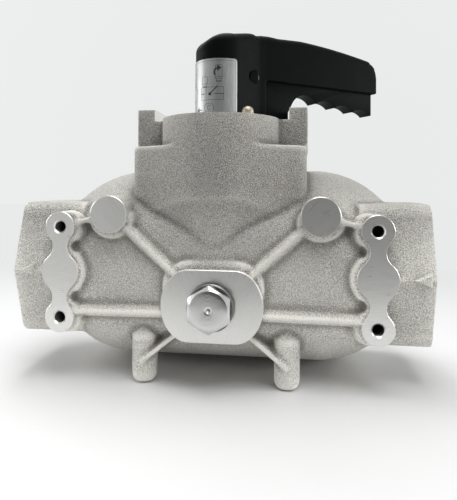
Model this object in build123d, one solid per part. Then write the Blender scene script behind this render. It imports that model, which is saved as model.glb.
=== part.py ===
from build123d import *
import math
import os

# Head of a duplex oil filter with a changeover lever, in millimetres.
# X runs along the pipe, Y away from the front mounting pads, Z up.
# The origin is the centre of the four mounting holes, on the face of the pads.

# Mounting pads
PAD_SPAN_X = 250.0
PAD_SPAN_Z = 73.0
PAD_END_R = 12.2
PAD_MIDDLE_R = 15.5
PAD_WAIST_R = 11.45
PAD_DEPTH = 14.0
PAD_HOLE_R = 4.25
PAD_HOLE_DEPTH = 20.0

# Rounded body
LOBE_X = 80.0
LOBE_Z = -1.6
LOBE_R = 86.4
BODY_FRONT_Y = 7.0
BODY_FLAT_R = 28.0
BODY_SHOULDER_Y = 110.0
BODY_BACK_Y = 112.0

# Pipe ports
PORT_END_X = 168.0
PORT_ROOT_X = 92.0
PORT_Y = 53.0
PORT_BORE_R = 25.5
PORT_MOUTH_DEPTH = 26.0
GALLERY_R = 24.0
GALLERY_END_X = 26.0
PORT_FRONT_Y = 6.0
PORT_EDGE_Y = 19.0
PORT_BACK_Y = 100.0
PORT_HALF_H = 56.0
PORT_CORNER_R = 13.0
PORT_BOLT_Z = 77.8
PORT_BOLT_Y = 42.9
PORT_BOLT_R = 5.1
PORT_BOLT_DEPTH = 27.0

# Bowl sockets in the back
RIM_R = 78.0
RIM_BACK_Y = 122.0
RIM_LAP = 5.0
SOCKET_R = 66.0
SOCKET_FLOOR_Y = 86.0
SOCKET_LIP_R = 69.8
SOCKET_LIP_DEPTH = 6.0
SEAL_R = 1.75
FEED_X = 29.0
FEED_R = 9.0
FEED_START_Y = 60.0

# Valve neck and chamber
NECK_Y = 44.0
NECK_R = 50.0
NECK_TOP_Z = 126.5
TAPER_TOP_Z = 58.0
TAPER_LOW_Z = 24.0
TAPER_LOW_R = 37.5
TAPER_LOW_HALF_W = 52.0
CHAMBER_R = 32.0
CHAMBER_FLOOR_Z = -40.0
BUSH_POCKET_R = 13.0
BUSH_POCKET_DEPTH = 8.0

# Block under the stop lugs
BLOCK_HALF_W = 73.0
BLOCK_FRONT_Y = 21.0
BLOCK_BACK_Y = 92.0
BLOCK_CORNER_R = 12.0
BLOCK_TOP_Z = 103.0

# Lever stops
LUG_IN_X = 58.5
LUG_OUT_X = 74.0
LUG_FRONT_Y = 42.0
LUG_BACK_Y = 85.0
LUG_TOP_Z = 136.5

# Bosses, ribs and feet on the front
DISC_X = 83.0
DISC_Z = 47.0
DISC_R = 14.9
DISC_FACE_Y = -3.0
OVAL_Z = -23.0
OVAL_FACE_Y = -3.0
OVAL_HALF_W = 40.0
OVAL_HALF_H = 28.0
OVAL_FLAT = 18.0
BOSS_DEPTH = 30.0
FRAME_Y = 2.5
FRAME_DEPTH = 7.5
FRAME_W = 4.0
FRAME_ROOT_W = 8.0
RIB_W = 3.6
RIB_FACE_Y = 1.5
RIB_DEPTH = 8.0
RIB_DRAFT = 25.0
FOOT_X = 57.5
FOOT_Y = 14.0
FOOT_R = 10.2
FOOT_Z = -88.0
FOOT_TOP_Z = -46.0
FOOT_RIB_W = 5.0
FOOT_RIB_RISE = 8.0
FOOT_RIB_DROP = -27.0

# Hexagon plug on the front
PLUG_FLATS = 32.0
PLUG_FACE_Y = -16.5
PLUG_FACE_R = 15.0
PLUG_BEVEL = 30.0
PLUG_DIMPLE = 2.4
PLUG_COLLAR_R = 18.4
PLUG_COLLAR_T = 3.0
PLUG_THREAD_R = 13.5
PLUG_END_Y = 9.0
PLUG_SEAL_T = 1.5
PLUG_BORE_R = 8.0

# Cover of the valve chamber and what holds it
COVER_R = 43.0
COVER_SEAT_Z = 109.0
COVER_TOP_Z = 121.0
COVER_NOSE_R = 31.8
COVER_NOSE_BORE_R = 25.0
COVER_GROOVE_Z = 110.2
COVER_GROOVE_H = 3.8
COVER_GROOVE_DEPTH = 2.95
COVER_SEAL_R = 1.4
SCREW_COUNT = 6
SCREW_PITCH_R = 36.2
SCREW_START_ANGLE = -13.0
SCREW_R = 2.5
SCREW_LENGTH = 20.0
SCREW_HEAD_R = 4.25
SCREW_HEAD_H = 5.0
SCREW_SINK = 5.5
STUD_R = 3.0
STUD_PITCH_R = 35.0
STUD_ANGLE = -43.0
STUD_TOP_Z = 130.5
CAP_FLATS = 10.0
CAP_HEX_H = 5.0
CAP_HEIGHT = 12.0
CAP_DOME_R = 4.7
WASHER_R = 6.0
WASHER_T = 1.6

# Rotary valve
SPINDLE_R = 11.0
SPINDLE_TAIL_R = 9.0
SPINDLE_TOP_Z = 150.0
DRUM_LOW_Z = -37.9
DRUM_TOP_Z = 62.0
DRUM_POCKET_H = 54.0
DRUM_POCKET_W = 46.0
DRUM_CORE = 12.0
THRUST_T = 2.0
KEY_W = 6.0
KEY_H = 40.0
ROD_R = 3.0
ROD_LOW_Z = -28.0
ROD_HEAD_R = 6.0
ROD_HEAD_T = 2.5
ROD_LIFT = 5.0
ROD_HEAD_Z = SPINDLE_TOP_Z + ROD_LIFT
ROD_TOP_Z = ROD_HEAD_Z + ROD_HEAD_T

# Element spigot and bypass valve in each socket
SPIGOT_R = 17.0
SPIGOT_BORE_R = 12.0
SPIGOT_COLLAR_R = 21.0
SPIGOT_COLLAR_T = 4.0
SPIGOT_END_Y = 112.0
SPIGOT_SEAL_Y = 104.0
BYPASS_X = 122.0
BYPASS_R = 11.0
BYPASS_IN_Y = 75.0
BYPASS_SEAT_R = 6.5
BYPASS_SEAT_Y = 78.0
BYPASS_BORE_R = 9.0
BYPASS_FLANGE_R = 15.0
BYPASS_FLANGE_T = 3.0
BYPASS_CAGE_Y = 102.0
BYPASS_END_T = 2.5
POPPET_R = 8.2
POPPET_T = 3.0
POPPET_STEM_R = 2.5
BYPASS_WIRE_R = 0.7
BYPASS_COIL_R = 6.2
BYPASS_TURNS = 5

# Lever
LEVER_ANGLE = 33.0
HUB_R = 21.9
HUB_BASE_Z = 123.0
HUB_NOSE_S = 18.0
HUB_NOSE_R = 15.5
HUB_SLEEVE_R = 15.0
CLAMP_R = 3.0
CLAMP_SINK = 0.6
GRIP_W = 24.0
LEVER_END_S = 161.0
LEVER_TOP_Z = 205.4
CROWN_H = 27.0
CROWN_PEAK_S = 27.0
CROWN_EDGE_R = 7.0
GRIP_BACK_S = 36.0
GRIP_BACK_Z = 203.2
GRIP_END_Z = 190.5
GRIP_END_R = 7.0
GRIP_EDGE_R = 6.0
SKIRT_Z = 163.0
SKIRT_END_Z = 160.3
WALL_END_T = 2.5
TRIGGER_W = 16.0
SLOT_W = 17.0
SLOT_START_S = 24.3
POCKET_BACK_S = -9.0
POCKET_FLOOR_Z = 152.5
POCKET_ROOF_Z = 180.0
PIVOT_S = 26.0
PIVOT_Z = 164.0
PIVOT_R = 3.0
PIVOT_HEAD_R = 4.5
PIVOT_RECESS_R = 7.0
PIVOT_RECESS_T = 5.0
PIVOT_HEAD_T = 0.8
ARM_BACK_S = -6.0
ARM_GAP = 0.4
ARM_END_S = 20.0
WEB_START_S = 27.0
WEB_SHOULDER_Z = 150.0
WEB_LOW_Z = 128.3
WEB_END_S = 62.6
WEB_TOP_S = 66.9
WEB_TOP_Z = 144.5
PALM_S = 78.5
PALM_Z = 153.3
FINGER_PITCH = 21.0
FINGER_COUNT = 3
FINGER_SLOPE = 0.122
FIRST_CUSP_S = 94.0
FIRST_CUSP_Z = 147.0
SCALLOP_DEPTH = 3.6
SCALLOP_LEAN = 1.2
TRIGGER_END_S = 157.5
TRIGGER_TOP_Z = 170.0
LABEL_T = 0.4
LABEL_GAP = 0.1
LABEL_LOW_Z = 124.5
LABEL_TOP_Z = 175.0
LABEL_HALF_ANGLE = 105.0

# Clearance on the radius of parts that turn or slide in a bore
RUN = 0.06
# Gap between fitted parts that don't move
FIT = 0.05

os.makedirs("parts", exist_ok=True)

LOWEST = (Align.CENTER, Align.CENTER, Align.MIN)


def save(shape, name):
    shape.label = name
    export_step(shape, f"parts/{name}.step")


def depth_rod(x, z, y, radius, length):
    """Cylinder that starts at depth y and runs away from the viewer."""
    plane = Plane((x, y, z), x_dir=(1, 0, 0), z_dir=(0, 1, 0))
    return plane * Cylinder(radius, length, align=LOWEST)


def cross_rod(y, z, x, radius, length):
    """Cylinder that starts at x and runs to the right."""
    plane = Plane((x, y, z), x_dir=(0, 1, 0), z_dir=(1, 0, 0))
    return plane * Cylinder(radius, length, align=LOWEST)


def post(x, y, z, radius, height):
    """Upright cylinder that stands on height z."""
    return Pos(x, y, z) * Cylinder(radius, height, align=LOWEST)


def block(x0, x1, y0, y1, z0, z1):
    """Box between two corners."""
    centre = Pos((x0 + x1) / 2, (y0 + y1) / 2, (z0 + z1) / 2)
    return centre * Box(x1 - x0, y1 - y0, z1 - z0)


def front_plane(y):
    """Plane of the front at depth y: X to the right, Z up, seen from the viewer."""
    return Plane((0, y, 0), x_dir=(1, 0, 0), z_dir=(0, -1, 0))


def relief(sketch, face_y, depth):
    """Raised feature of the front: the sketch, seen from the front, and its depth."""
    return extrude(front_plane(face_y) * sketch, -depth)


def frame_round(crest, root):
    """Raised frame round a machined boss, wider at its root."""
    sections = [front_plane(FRAME_Y) * crest, front_plane(FRAME_Y + FRAME_DEPTH) * root]
    return loft(sections, ruled=True)


def rib(x0, z0, x1, z1, face_y, depth):
    """Straight rib between two points of the front, drafted on both sides."""
    length = math.hypot(x1 - x0, z1 - z0)
    angle = math.degrees(math.atan2(z1 - z0, x1 - x0))
    spread = depth * math.tan(math.radians(RIB_DRAFT))
    middle = Pos((x0 + x1) / 2, (z0 + z1) / 2) * Rot(0, 0, angle)
    crest = middle * SlotCenterToCenter(length, RIB_W)
    root = middle * SlotCenterToCenter(length, RIB_W + 2 * spread)
    sections = [front_plane(face_y) * crest, front_plane(face_y + depth) * root]
    return loft(sections, ruled=True)


def hexagon(flats):
    return RegularPolygon(flats / 2, 6, major_radius=False, rotation=30)


# The casting


def pillow():
    """Body with one section all round: flat front, elliptical shoulder, straight wall."""
    shoulder = EllipticalCenterArc(
        (BODY_FLAT_R, BODY_SHOULDER_Y),
        LOBE_R - BODY_FLAT_R,
        BODY_SHOULDER_Y - BODY_FRONT_Y,
        start_angle=270,
        arc_size=90,
    )
    rest = Polyline(
        (LOBE_R, BODY_SHOULDER_Y),
        (LOBE_R, BODY_BACK_Y),
        (0, BODY_BACK_Y),
        (0, BODY_FRONT_Y),
        (BODY_FLAT_R, BODY_FRONT_Y),
    )
    half = make_face(shoulder + rest)
    shape = None
    for x in (-LOBE_X, LOBE_X):
        plane = Plane((x, 0, LOBE_Z), x_dir=(0, 0, 1), z_dir=(-1, 0, 0))
        lobe = revolve(plane * half, Axis((x, 0, LOBE_Z), (0, 1, 0)))
        shape = lobe if shape is None else shape + lobe
    plane = Plane((LOBE_X, 0, LOBE_Z), x_dir=(0, 0, 1), z_dir=(-1, 0, 0))
    section = half + mirror(half, Plane.YZ)
    return shape + extrude(plane * section, 2 * LOBE_X)


def port_block(side):
    """Flange block of one port, drafted both ways from the parting line."""
    outline = Polyline(
        (PORT_FRONT_Y, 0),
        (PORT_EDGE_Y, PORT_HALF_H),
        (PORT_BACK_Y, PORT_HALF_H),
        (PORT_BACK_Y, -PORT_HALF_H),
        (PORT_EDGE_Y, -PORT_HALF_H),
        close=True,
    )
    face = make_face(outline)
    corners = [v for v in face.vertices() if abs(v.X - PORT_FRONT_Y) > 1]
    face = fillet(corners, PORT_CORNER_R)
    plane = Plane((PORT_ROOT_X, 0, 0), x_dir=(0, 1, 0), z_dir=(1, 0, 0))
    solid = extrude(plane * face, PORT_END_X - PORT_ROOT_X)
    return solid if side > 0 else mirror(solid, Plane.YZ)


def plinth_plan(middle_r, half_w):
    """Plan that wraps a circle round the spindle and the corners under both lugs."""
    corner_x = half_w - BLOCK_CORNER_R
    circles = Pos(0, NECK_Y) * Circle(middle_r)
    for x in (-corner_x, corner_x):
        for y in (BLOCK_FRONT_Y + BLOCK_CORNER_R, BLOCK_BACK_Y - BLOCK_CORNER_R):
            circles += Pos(x, y) * Circle(BLOCK_CORNER_R)
    return make_hull(circles.edges())


def lug_block():
    """Plinth of the neck, tapered where it runs down into the body."""
    wide = Pos(0, 0, TAPER_TOP_Z) * plinth_plan(NECK_R, BLOCK_HALF_W)
    low = Pos(0, 0, TAPER_LOW_Z) * plinth_plan(TAPER_LOW_R, TAPER_LOW_HALF_W)
    upper = extrude(wide, BLOCK_TOP_Z - TAPER_TOP_Z)
    upper = fillet(upper.faces().sort_by(Axis.Z)[-1].edges(), 3)
    return upper + loft([low, wide], ruled=True)


def neck():
    return post(0, NECK_Y, TAPER_TOP_Z, NECK_R, NECK_TOP_Z - TAPER_TOP_Z)


def lug(side):
    """Stop for the lever, with a lower step that ties it to the neck."""
    inner = LUG_IN_X
    stop = block(inner, LUG_OUT_X, LUG_FRONT_Y, LUG_BACK_Y, BLOCK_TOP_Z - 6, LUG_TOP_Z)
    stop = fillet(stop.edges().filter_by(Axis.Y).sort_by(Axis.Z)[-2:], 1.2)
    tie = block(
        NECK_R - 12, inner, LUG_FRONT_Y, LUG_BACK_Y, BLOCK_TOP_Z - 6, NECK_TOP_Z
    )
    solid = stop + tie
    return solid if side > 0 else mirror(solid, Plane.YZ)


def pad_outline():
    """Dumbbell with a wider middle, its three rounds joined by smooth waists."""
    end_z = PAD_SPAN_Z / 2
    to_middle = PAD_MIDDLE_R + PAD_WAIST_R
    to_end = PAD_END_R + PAD_WAIST_R
    waist_z = (to_middle**2 - to_end**2 + end_z**2) / (2 * end_z)
    waist_x = math.sqrt(to_middle**2 - waist_z**2)
    outline = Circle(PAD_MIDDLE_R)
    for up in (-1, 1):
        web = Polyline(
            (0, 0), (waist_x, up * waist_z), (0, up * end_z), (-waist_x, up * waist_z), close=True
        )
        outline += make_face(web) + Pos(0, up * end_z) * Circle(PAD_END_R)
        for x in (-waist_x, waist_x):
            outline -= Pos(x, up * waist_z) * Circle(PAD_WAIST_R)
    return outline


def pad(side):
    """Mounting pad, with two tapping holes added later, and the frame round it."""
    outline = Pos(side * PAD_SPAN_X / 2, 0) * pad_outline()
    frame = frame_round(offset(outline, FRAME_W), offset(outline, FRAME_ROOT_W))
    return relief(outline, 0, PAD_DEPTH) + frame


def disc_boss(side):
    """Blank boss above the pad, for an indicator."""
    middle = Pos(side * DISC_X, DISC_Z)
    frame = frame_round(middle * Circle(DISC_R + FRAME_W), middle * Circle(DISC_R + FRAME_ROOT_W))
    return relief(middle * Circle(DISC_R), DISC_FACE_Y, BOSS_DEPTH) + frame


def oval(grow):
    """Two half ellipses with short flats between them, grown on all sides."""
    half_h = OVAL_HALF_H + grow
    ends = []
    for side, start in ((1, 270), (-1, 90)):
        middle = (side * OVAL_FLAT, OVAL_Z)
        half_w = OVAL_HALF_W - OVAL_FLAT + grow
        ends.append(EllipticalCenterArc(middle, half_w, half_h, start_angle=start, arc_size=180))
    top = Line((OVAL_FLAT, OVAL_Z + half_h), (-OVAL_FLAT, OVAL_Z + half_h))
    low = Line((-OVAL_FLAT, OVAL_Z - half_h), (OVAL_FLAT, OVAL_Z - half_h))
    return make_face(ends[0] + top + ends[1] + low)


def oval_boss():
    frame = frame_round(oval(FRAME_W), oval(FRAME_ROOT_W))
    return relief(oval(0), OVAL_FACE_Y, BOSS_DEPTH) + frame


def front_ribs(side):
    """Ribs that tie the oval boss to the disc boss, the pad and the foot."""
    pad_x = side * PAD_SPAN_X / 2
    disc_x = side * DISC_X
    root_x = side * OVAL_HALF_W * 0.6
    half_span = PAD_SPAN_Z / 2
    ribs = rib(disc_x, DISC_Z, root_x, OVAL_Z + 18, RIB_FACE_Y, RIB_DEPTH)
    ribs += rib(root_x, OVAL_Z - 7, pad_x, 5 - half_span, RIB_FACE_Y, RIB_DEPTH)
    ribs += rib(disc_x, DISC_Z, pad_x, half_span, RIB_FACE_Y, 2 * RIB_DEPTH)
    fall = Vector(side * FOOT_X - root_x, FOOT_RIB_DROP)
    slope = math.degrees(math.atan2(fall.Y, fall.X))
    middle = Pos(root_x + fall.X / 2, OVAL_Z - OVAL_HALF_H + FOOT_RIB_RISE + fall.Y / 2)
    low = middle * Rot(0, 0, slope) * SlotCenterToCenter(fall.length, FOOT_RIB_W)
    return ribs + relief(low, RIB_FACE_Y, BOSS_DEPTH)


def foot(side):
    solid = post(side * FOOT_X, FOOT_Y, FOOT_Z, FOOT_R, FOOT_TOP_Z - FOOT_Z)
    low_edge = solid.edges().filter_by(GeomType.CIRCLE).sort_by(Axis.Z)[0]
    return fillet(low_edge, FOOT_R - 1)


def bowl_rim(side):
    length = RIM_BACK_Y - BODY_BACK_Y + RIM_LAP
    return depth_rod(side * LOBE_X, LOBE_Z, BODY_BACK_Y - RIM_LAP, RIM_R, length)


def cover_angles():
    return [SCREW_START_ANGLE + i * 360 / SCREW_COUNT for i in range(SCREW_COUNT)]


def on_cover(radius, angle):
    """Place on a circle round the neck, as x and y."""
    turn = math.radians(angle)
    return radius * math.cos(turn), NECK_Y + radius * math.sin(turn)


def port_bolt_places():
    for y in (-PORT_BOLT_Y / 2, PORT_BOLT_Y / 2):
        for z in (-PORT_BOLT_Z / 2, PORT_BOLT_Z / 2):
            yield PORT_Y + y, z


def head_casting():
    body = pillow() + lug_block() + neck() + oval_boss()
    for side in (-1, 1):
        for feature in (port_block, lug, pad, disc_boss, front_ribs, foot, bowl_rim):
            body += feature(side)
    body -= post(
        0, NECK_Y, CHAMBER_FLOOR_Z, CHAMBER_R, NECK_TOP_Z - CHAMBER_FLOOR_Z + 1
    )
    body -= post(0, NECK_Y, COVER_SEAT_Z, COVER_R, NECK_TOP_Z - COVER_SEAT_Z + 1)
    body -= post(
        0,
        NECK_Y,
        CHAMBER_FLOOR_Z - BUSH_POCKET_DEPTH,
        BUSH_POCKET_R,
        BUSH_POCKET_DEPTH + 1,
    )
    for angle in cover_angles():
        x, y = on_cover(SCREW_PITCH_R, angle)
        body -= post(x, y, COVER_TOP_Z - SCREW_SINK - SCREW_LENGTH - 2, SCREW_R, 40)
    body -= depth_rod(
        0, OVAL_Z, OVAL_FACE_Y - 1, PLUG_THREAD_R, NECK_Y - OVAL_FACE_Y - CHAMBER_R + 8
    )
    for side in (-1, 1):
        x = side * PORT_END_X
        inward = min(x, x - side * PORT_MOUTH_DEPTH)
        body -= cross_rod(PORT_Y, 0, inward, PORT_BORE_R, PORT_MOUTH_DEPTH)
        length = PORT_END_X - GALLERY_END_X
        inward = min(x, side * GALLERY_END_X)
        body -= cross_rod(PORT_Y, 0, inward, GALLERY_R, length)
        inward = min(x, x - side * PORT_BOLT_DEPTH)
        for y, z in port_bolt_places():
            body -= cross_rod(y, z, inward, PORT_BOLT_R, PORT_BOLT_DEPTH)
        body -= depth_rod(
            side * LOBE_X, LOBE_Z, SOCKET_FLOOR_Y, SOCKET_R, RIM_BACK_Y - SOCKET_FLOOR_Y
        )
        body -= depth_rod(
            side * LOBE_X,
            LOBE_Z,
            RIM_BACK_Y - SOCKET_LIP_DEPTH,
            SOCKET_LIP_R,
            SOCKET_LIP_DEPTH,
        )
        body -= depth_rod(side * LOBE_X, LOBE_Z, PORT_Y, SPIGOT_R, 40)
        body -= depth_rod(side * BYPASS_X, LOBE_Z, PORT_Y, BYPASS_R, 40)
        body -= depth_rod(side * FEED_X, LOBE_Z, FEED_START_Y, FEED_R, 30)
        for z in (-PAD_SPAN_Z / 2, PAD_SPAN_Z / 2):
            x = side * PAD_SPAN_X / 2
            body -= depth_rod(x, z, 0, PAD_HOLE_R, PAD_HOLE_DEPTH)
    return body


# Plug on the front


def front_plug():
    collar_y = OVAL_FACE_Y - PLUG_SEAL_T - PLUG_COLLAR_T
    plane = Plane((0, PLUG_FACE_Y, OVAL_Z), x_dir=(1, 0, 0), z_dir=(0, 1, 0))
    height = collar_y - PLUG_FACE_Y
    head = extrude(hexagon(PLUG_FLATS), height)
    # A cone turned over the corners gives the curved chamfer of a bolt head
    outer_r = PLUG_FLATS * 0.6
    rise = (outer_r - PLUG_FACE_R) * math.tan(math.radians(PLUG_BEVEL))
    bevel = Cone(PLUG_FACE_R, outer_r, rise, align=LOWEST)
    bevel += Pos(0, 0, rise) * Cylinder(outer_r, height, align=LOWEST)
    head = head & bevel
    head -= Cone(PLUG_DIMPLE, 0, PLUG_DIMPLE, align=LOWEST)
    solid = plane * head
    solid += depth_rod(0, OVAL_Z, collar_y, PLUG_COLLAR_R, PLUG_COLLAR_T)
    shank_y = collar_y + PLUG_COLLAR_T
    solid += depth_rod(0, OVAL_Z, shank_y, PLUG_THREAD_R - FIT, PLUG_END_Y - shank_y)
    return solid - depth_rod(0, OVAL_Z, shank_y, PLUG_BORE_R, PLUG_END_Y - shank_y)


def front_plug_seal():
    start = OVAL_FACE_Y - PLUG_SEAL_T
    ring = depth_rod(0, OVAL_Z, start, PLUG_COLLAR_R - 0.8, PLUG_SEAL_T)
    return ring - depth_rod(0, OVAL_Z, start, PLUG_THREAD_R + 0.3, PLUG_SEAL_T)


# Cover of the valve chamber


def valve_cover():
    height = COVER_TOP_Z - COVER_SEAT_Z
    plate = post(0, NECK_Y, COVER_SEAT_Z, COVER_R - FIT, height)
    nose_low = DRUM_TOP_Z + THRUST_T + 2 * RUN
    plate += post(0, NECK_Y, nose_low, COVER_NOSE_R, COVER_SEAT_Z - nose_low)
    plate -= post(0, NECK_Y, nose_low, COVER_NOSE_BORE_R, COVER_SEAT_Z - nose_low - 2)
    plate -= post(0, NECK_Y, nose_low, BUSH_POCKET_R, 200)
    ring = post(0, NECK_Y, COVER_GROOVE_Z, COVER_R + 1, COVER_GROOVE_H)
    inner = COVER_R - COVER_GROOVE_DEPTH
    plate -= ring - post(0, NECK_Y, COVER_GROOVE_Z, inner, COVER_GROOVE_H)
    for angle in cover_angles():
        x, y = on_cover(SCREW_PITCH_R, angle)
        plate -= post(x, y, COVER_SEAT_Z - 1, SCREW_R + 0.2, height + 2)
        plate -= post(x, y, COVER_TOP_Z - SCREW_SINK, SCREW_HEAD_R + 0.3, height)
    x, y = on_cover(STUD_PITCH_R, STUD_ANGLE)
    return plate - post(x, y, COVER_SEAT_Z + 1, STUD_R, height)


def cover_seal():
    major = COVER_R - 2 * FIT - COVER_SEAL_R
    middle = COVER_GROOVE_Z + COVER_GROOVE_H / 2
    return Pos(0, NECK_Y, middle) * Torus(major, COVER_SEAL_R)


def cover_screws():
    """Group of identical socket head screws."""
    screws = []
    for angle in cover_angles():
        x, y = on_cover(SCREW_PITCH_R, angle)
        seat = COVER_TOP_Z - SCREW_SINK
        screw = post(x, y, seat - SCREW_LENGTH, SCREW_R - FIT, SCREW_LENGTH)
        screw += post(x, y, seat, SCREW_HEAD_R, SCREW_HEAD_H)
        socket = extrude(Pos(x, y, seat + SCREW_HEAD_H) * hexagon(4.0), -SCREW_R)
        screws.append(screw - socket)
    return Compound(children=screws)


def vent_stud():
    x, y = on_cover(STUD_PITCH_R, STUD_ANGLE)
    low = COVER_SEAT_Z + 1
    return post(x, y, low, STUD_R - FIT, STUD_TOP_Z - low)


def vent_washer():
    x, y = on_cover(STUD_PITCH_R, STUD_ANGLE)
    ring = post(x, y, COVER_TOP_Z, WASHER_R, WASHER_T)
    return ring - post(x, y, COVER_TOP_Z, STUD_R + 0.2, WASHER_T)


def vent_cap():
    """Domed cap nut on the vent stud."""
    x, y = on_cover(STUD_PITCH_R, STUD_ANGLE)
    low = COVER_TOP_Z + WASHER_T
    nut = extrude(hexagon(CAP_FLATS), CAP_HEX_H)
    crown = Cylinder(CAP_DOME_R, CAP_HEIGHT, align=LOWEST)
    top = crown.edges().filter_by(GeomType.CIRCLE).sort_by(Axis.Z)[-1]
    nut += fillet(top, CAP_DOME_R - 0.4)
    nut = Pos(x, y, low) * nut
    return nut - post(x, y, low, STUD_R, STUD_TOP_Z - low)


def upper_bush():
    ring = post(0, NECK_Y, COVER_SEAT_Z - 2, BUSH_POCKET_R - FIT, 9)
    return ring - post(0, NECK_Y, COVER_SEAT_Z - 2, SPINDLE_R + RUN, 9)


def spindle_seal():
    low = COVER_SEAT_Z + 7
    ring = post(0, NECK_Y, low, BUSH_POCKET_R - FIT, 4)
    return ring - post(0, NECK_Y, low, SPINDLE_R + RUN, 4)


# Rotary valve in the chamber, turned by the lever


def lower_bush():
    low = CHAMBER_FLOOR_Z - BUSH_POCKET_DEPTH
    ring = post(0, NECK_Y, low, BUSH_POCKET_R - FIT, BUSH_POCKET_DEPTH)
    return ring - post(0, NECK_Y, low, SPINDLE_TAIL_R + RUN, BUSH_POCKET_DEPTH)


def thrust_ring(low, inner):
    ring = post(0, NECK_Y, low, CHAMBER_R - 2, THRUST_T)
    return ring - post(0, NECK_Y, low, inner, THRUST_T)


def spindle():
    low = CHAMBER_FLOOR_Z - BUSH_POCKET_DEPTH + 0.5
    shaft = post(0, NECK_Y, low, SPINDLE_TAIL_R, DRUM_TOP_Z - low)
    shaft += post(0, NECK_Y, DRUM_TOP_Z, SPINDLE_R, SPINDLE_TOP_Z - DRUM_TOP_Z)
    shaft -= post(0, NECK_Y, ROD_LOW_Z - 4, ROD_R + RUN, SPINDLE_TOP_Z - ROD_LOW_Z + 5)
    return shaft - keyway(0)


def keyway(gap):
    reach = SPINDLE_TAIL_R + KEY_W / 2 + gap
    half = KEY_W / 2 + gap
    return block(
        SPINDLE_TAIL_R - KEY_W / 2,
        reach,
        NECK_Y - half,
        NECK_Y + half,
        -KEY_H / 2,
        KEY_H / 2,
    )


def drum_key():
    return keyway(0)


def valve_drum():
    """Plug of the changeover valve, waisted on both sides so that oil passes round it."""
    drum = post(0, NECK_Y, DRUM_LOW_Z, CHAMBER_R - RUN, DRUM_TOP_Z - DRUM_LOW_Z)
    half_w = DRUM_POCKET_W / 2
    half_h = DRUM_POCKET_H / 2
    for side in (-1, 1):
        near = side * DRUM_CORE
        far = side * CHAMBER_R
        pocket = block(
            min(near, far),
            max(near, far),
            NECK_Y - half_w,
            NECK_Y + half_w,
            -half_h,
            half_h,
        )
        drum -= fillet(pocket.edges().filter_by(Axis.X), 10)
    drum -= post(0, NECK_Y, DRUM_LOW_Z, SPINDLE_TAIL_R, DRUM_TOP_Z - DRUM_LOW_Z)
    return drum - keyway(0)


def equalising_rod():
    """Push rod inside the spindle, with a domed head under the trigger's arm."""
    rod = post(0, NECK_Y, ROD_LOW_Z, ROD_R, ROD_HEAD_Z - ROD_LOW_Z)
    head = post(0, NECK_Y, ROD_HEAD_Z, ROD_HEAD_R, ROD_TOP_Z - ROD_HEAD_Z)
    top = head.edges().filter_by(GeomType.CIRCLE).sort_by(Axis.Z)[-1]
    return rod + fillet(top, 1)


def coil(radius, wire, start, end, turns):
    """Compression spring along Z with the wire inside both ends."""
    height = end - start - 2 * wire
    path = Pos(0, 0, start + wire) * Helix(height / turns, height, radius)
    section = Plane(path @ 0, z_dir=path % 0) * Circle(wire)
    return sweep(section, path=path, is_frenet=True)


def rod_spring():
    return Pos(0, NECK_Y, 0) * coil(4.4, 0.55, SPINDLE_TOP_Z, ROD_HEAD_Z, 3)


# Parts in the two bowl sockets


def socket_seal(side):
    plane = Plane(
        (side * LOBE_X, RIM_BACK_Y - SOCKET_LIP_DEPTH + SEAL_R, LOBE_Z),
        x_dir=(1, 0, 0),
        z_dir=(0, 1, 0),
    )
    return plane * Torus(SOCKET_LIP_R - SEAL_R - 0.1, SEAL_R)


def element_spigot(side):
    """Stub that carries the filter element, pressed into the socket floor."""
    x = side * LOBE_X
    tube = depth_rod(x, LOBE_Z, SOCKET_FLOOR_Y - 7, SPIGOT_R - FIT, 7)
    tube += depth_rod(x, LOBE_Z, SOCKET_FLOOR_Y, SPIGOT_COLLAR_R, SPIGOT_COLLAR_T)
    tube += depth_rod(x, LOBE_Z, SOCKET_FLOOR_Y, SPIGOT_R, SPIGOT_END_Y - SOCKET_FLOOR_Y)
    tube -= depth_rod(x, LOBE_Z, SOCKET_FLOOR_Y - 8, SPIGOT_BORE_R, 60)
    groove = depth_rod(x, LOBE_Z, SPIGOT_SEAL_Y, SPIGOT_R + 1, 4)
    return tube - (groove - depth_rod(x, LOBE_Z, SPIGOT_SEAL_Y, SPIGOT_R - 2.6, 4))


def spigot_seal(side):
    plane = Plane(
        (side * LOBE_X, SPIGOT_SEAL_Y + 2, LOBE_Z), x_dir=(1, 0, 0), z_dir=(0, 1, 0)
    )
    return plane * Torus(SPIGOT_R - 2.6 + SEAL_R + 0.05, SEAL_R)


def bypass_body(side):
    """Valve seat with a flange and a cage that guides the poppet's stem."""
    x = side * BYPASS_X
    end = BYPASS_CAGE_Y + BYPASS_END_T
    body = depth_rod(x, LOBE_Z, BYPASS_IN_Y, BYPASS_R - FIT, end - BYPASS_IN_Y)
    body += depth_rod(x, LOBE_Z, SOCKET_FLOOR_Y, BYPASS_FLANGE_R, BYPASS_FLANGE_T)
    body -= depth_rod(x, LOBE_Z, BYPASS_IN_Y, BYPASS_SEAT_R, 5)
    length = BYPASS_CAGE_Y - BYPASS_SEAT_Y
    body -= depth_rod(x, LOBE_Z, BYPASS_SEAT_Y, BYPASS_BORE_R, length)
    body -= depth_rod(x, LOBE_Z, BYPASS_CAGE_Y, POPPET_STEM_R + RUN, 5)
    for turn in (0, 60, 120):
        window = Box(3 * BYPASS_R, 7, BYPASS_CAGE_Y - SOCKET_FLOOR_Y - 6)
        plane = Plane(
            (x, (BYPASS_CAGE_Y + SOCKET_FLOOR_Y + 4) / 2, LOBE_Z),
            x_dir=(1, 0, 0),
            z_dir=(0, 1, 0),
        )
        body -= plane * Rot(0, 0, turn) * window
    return body


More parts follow.
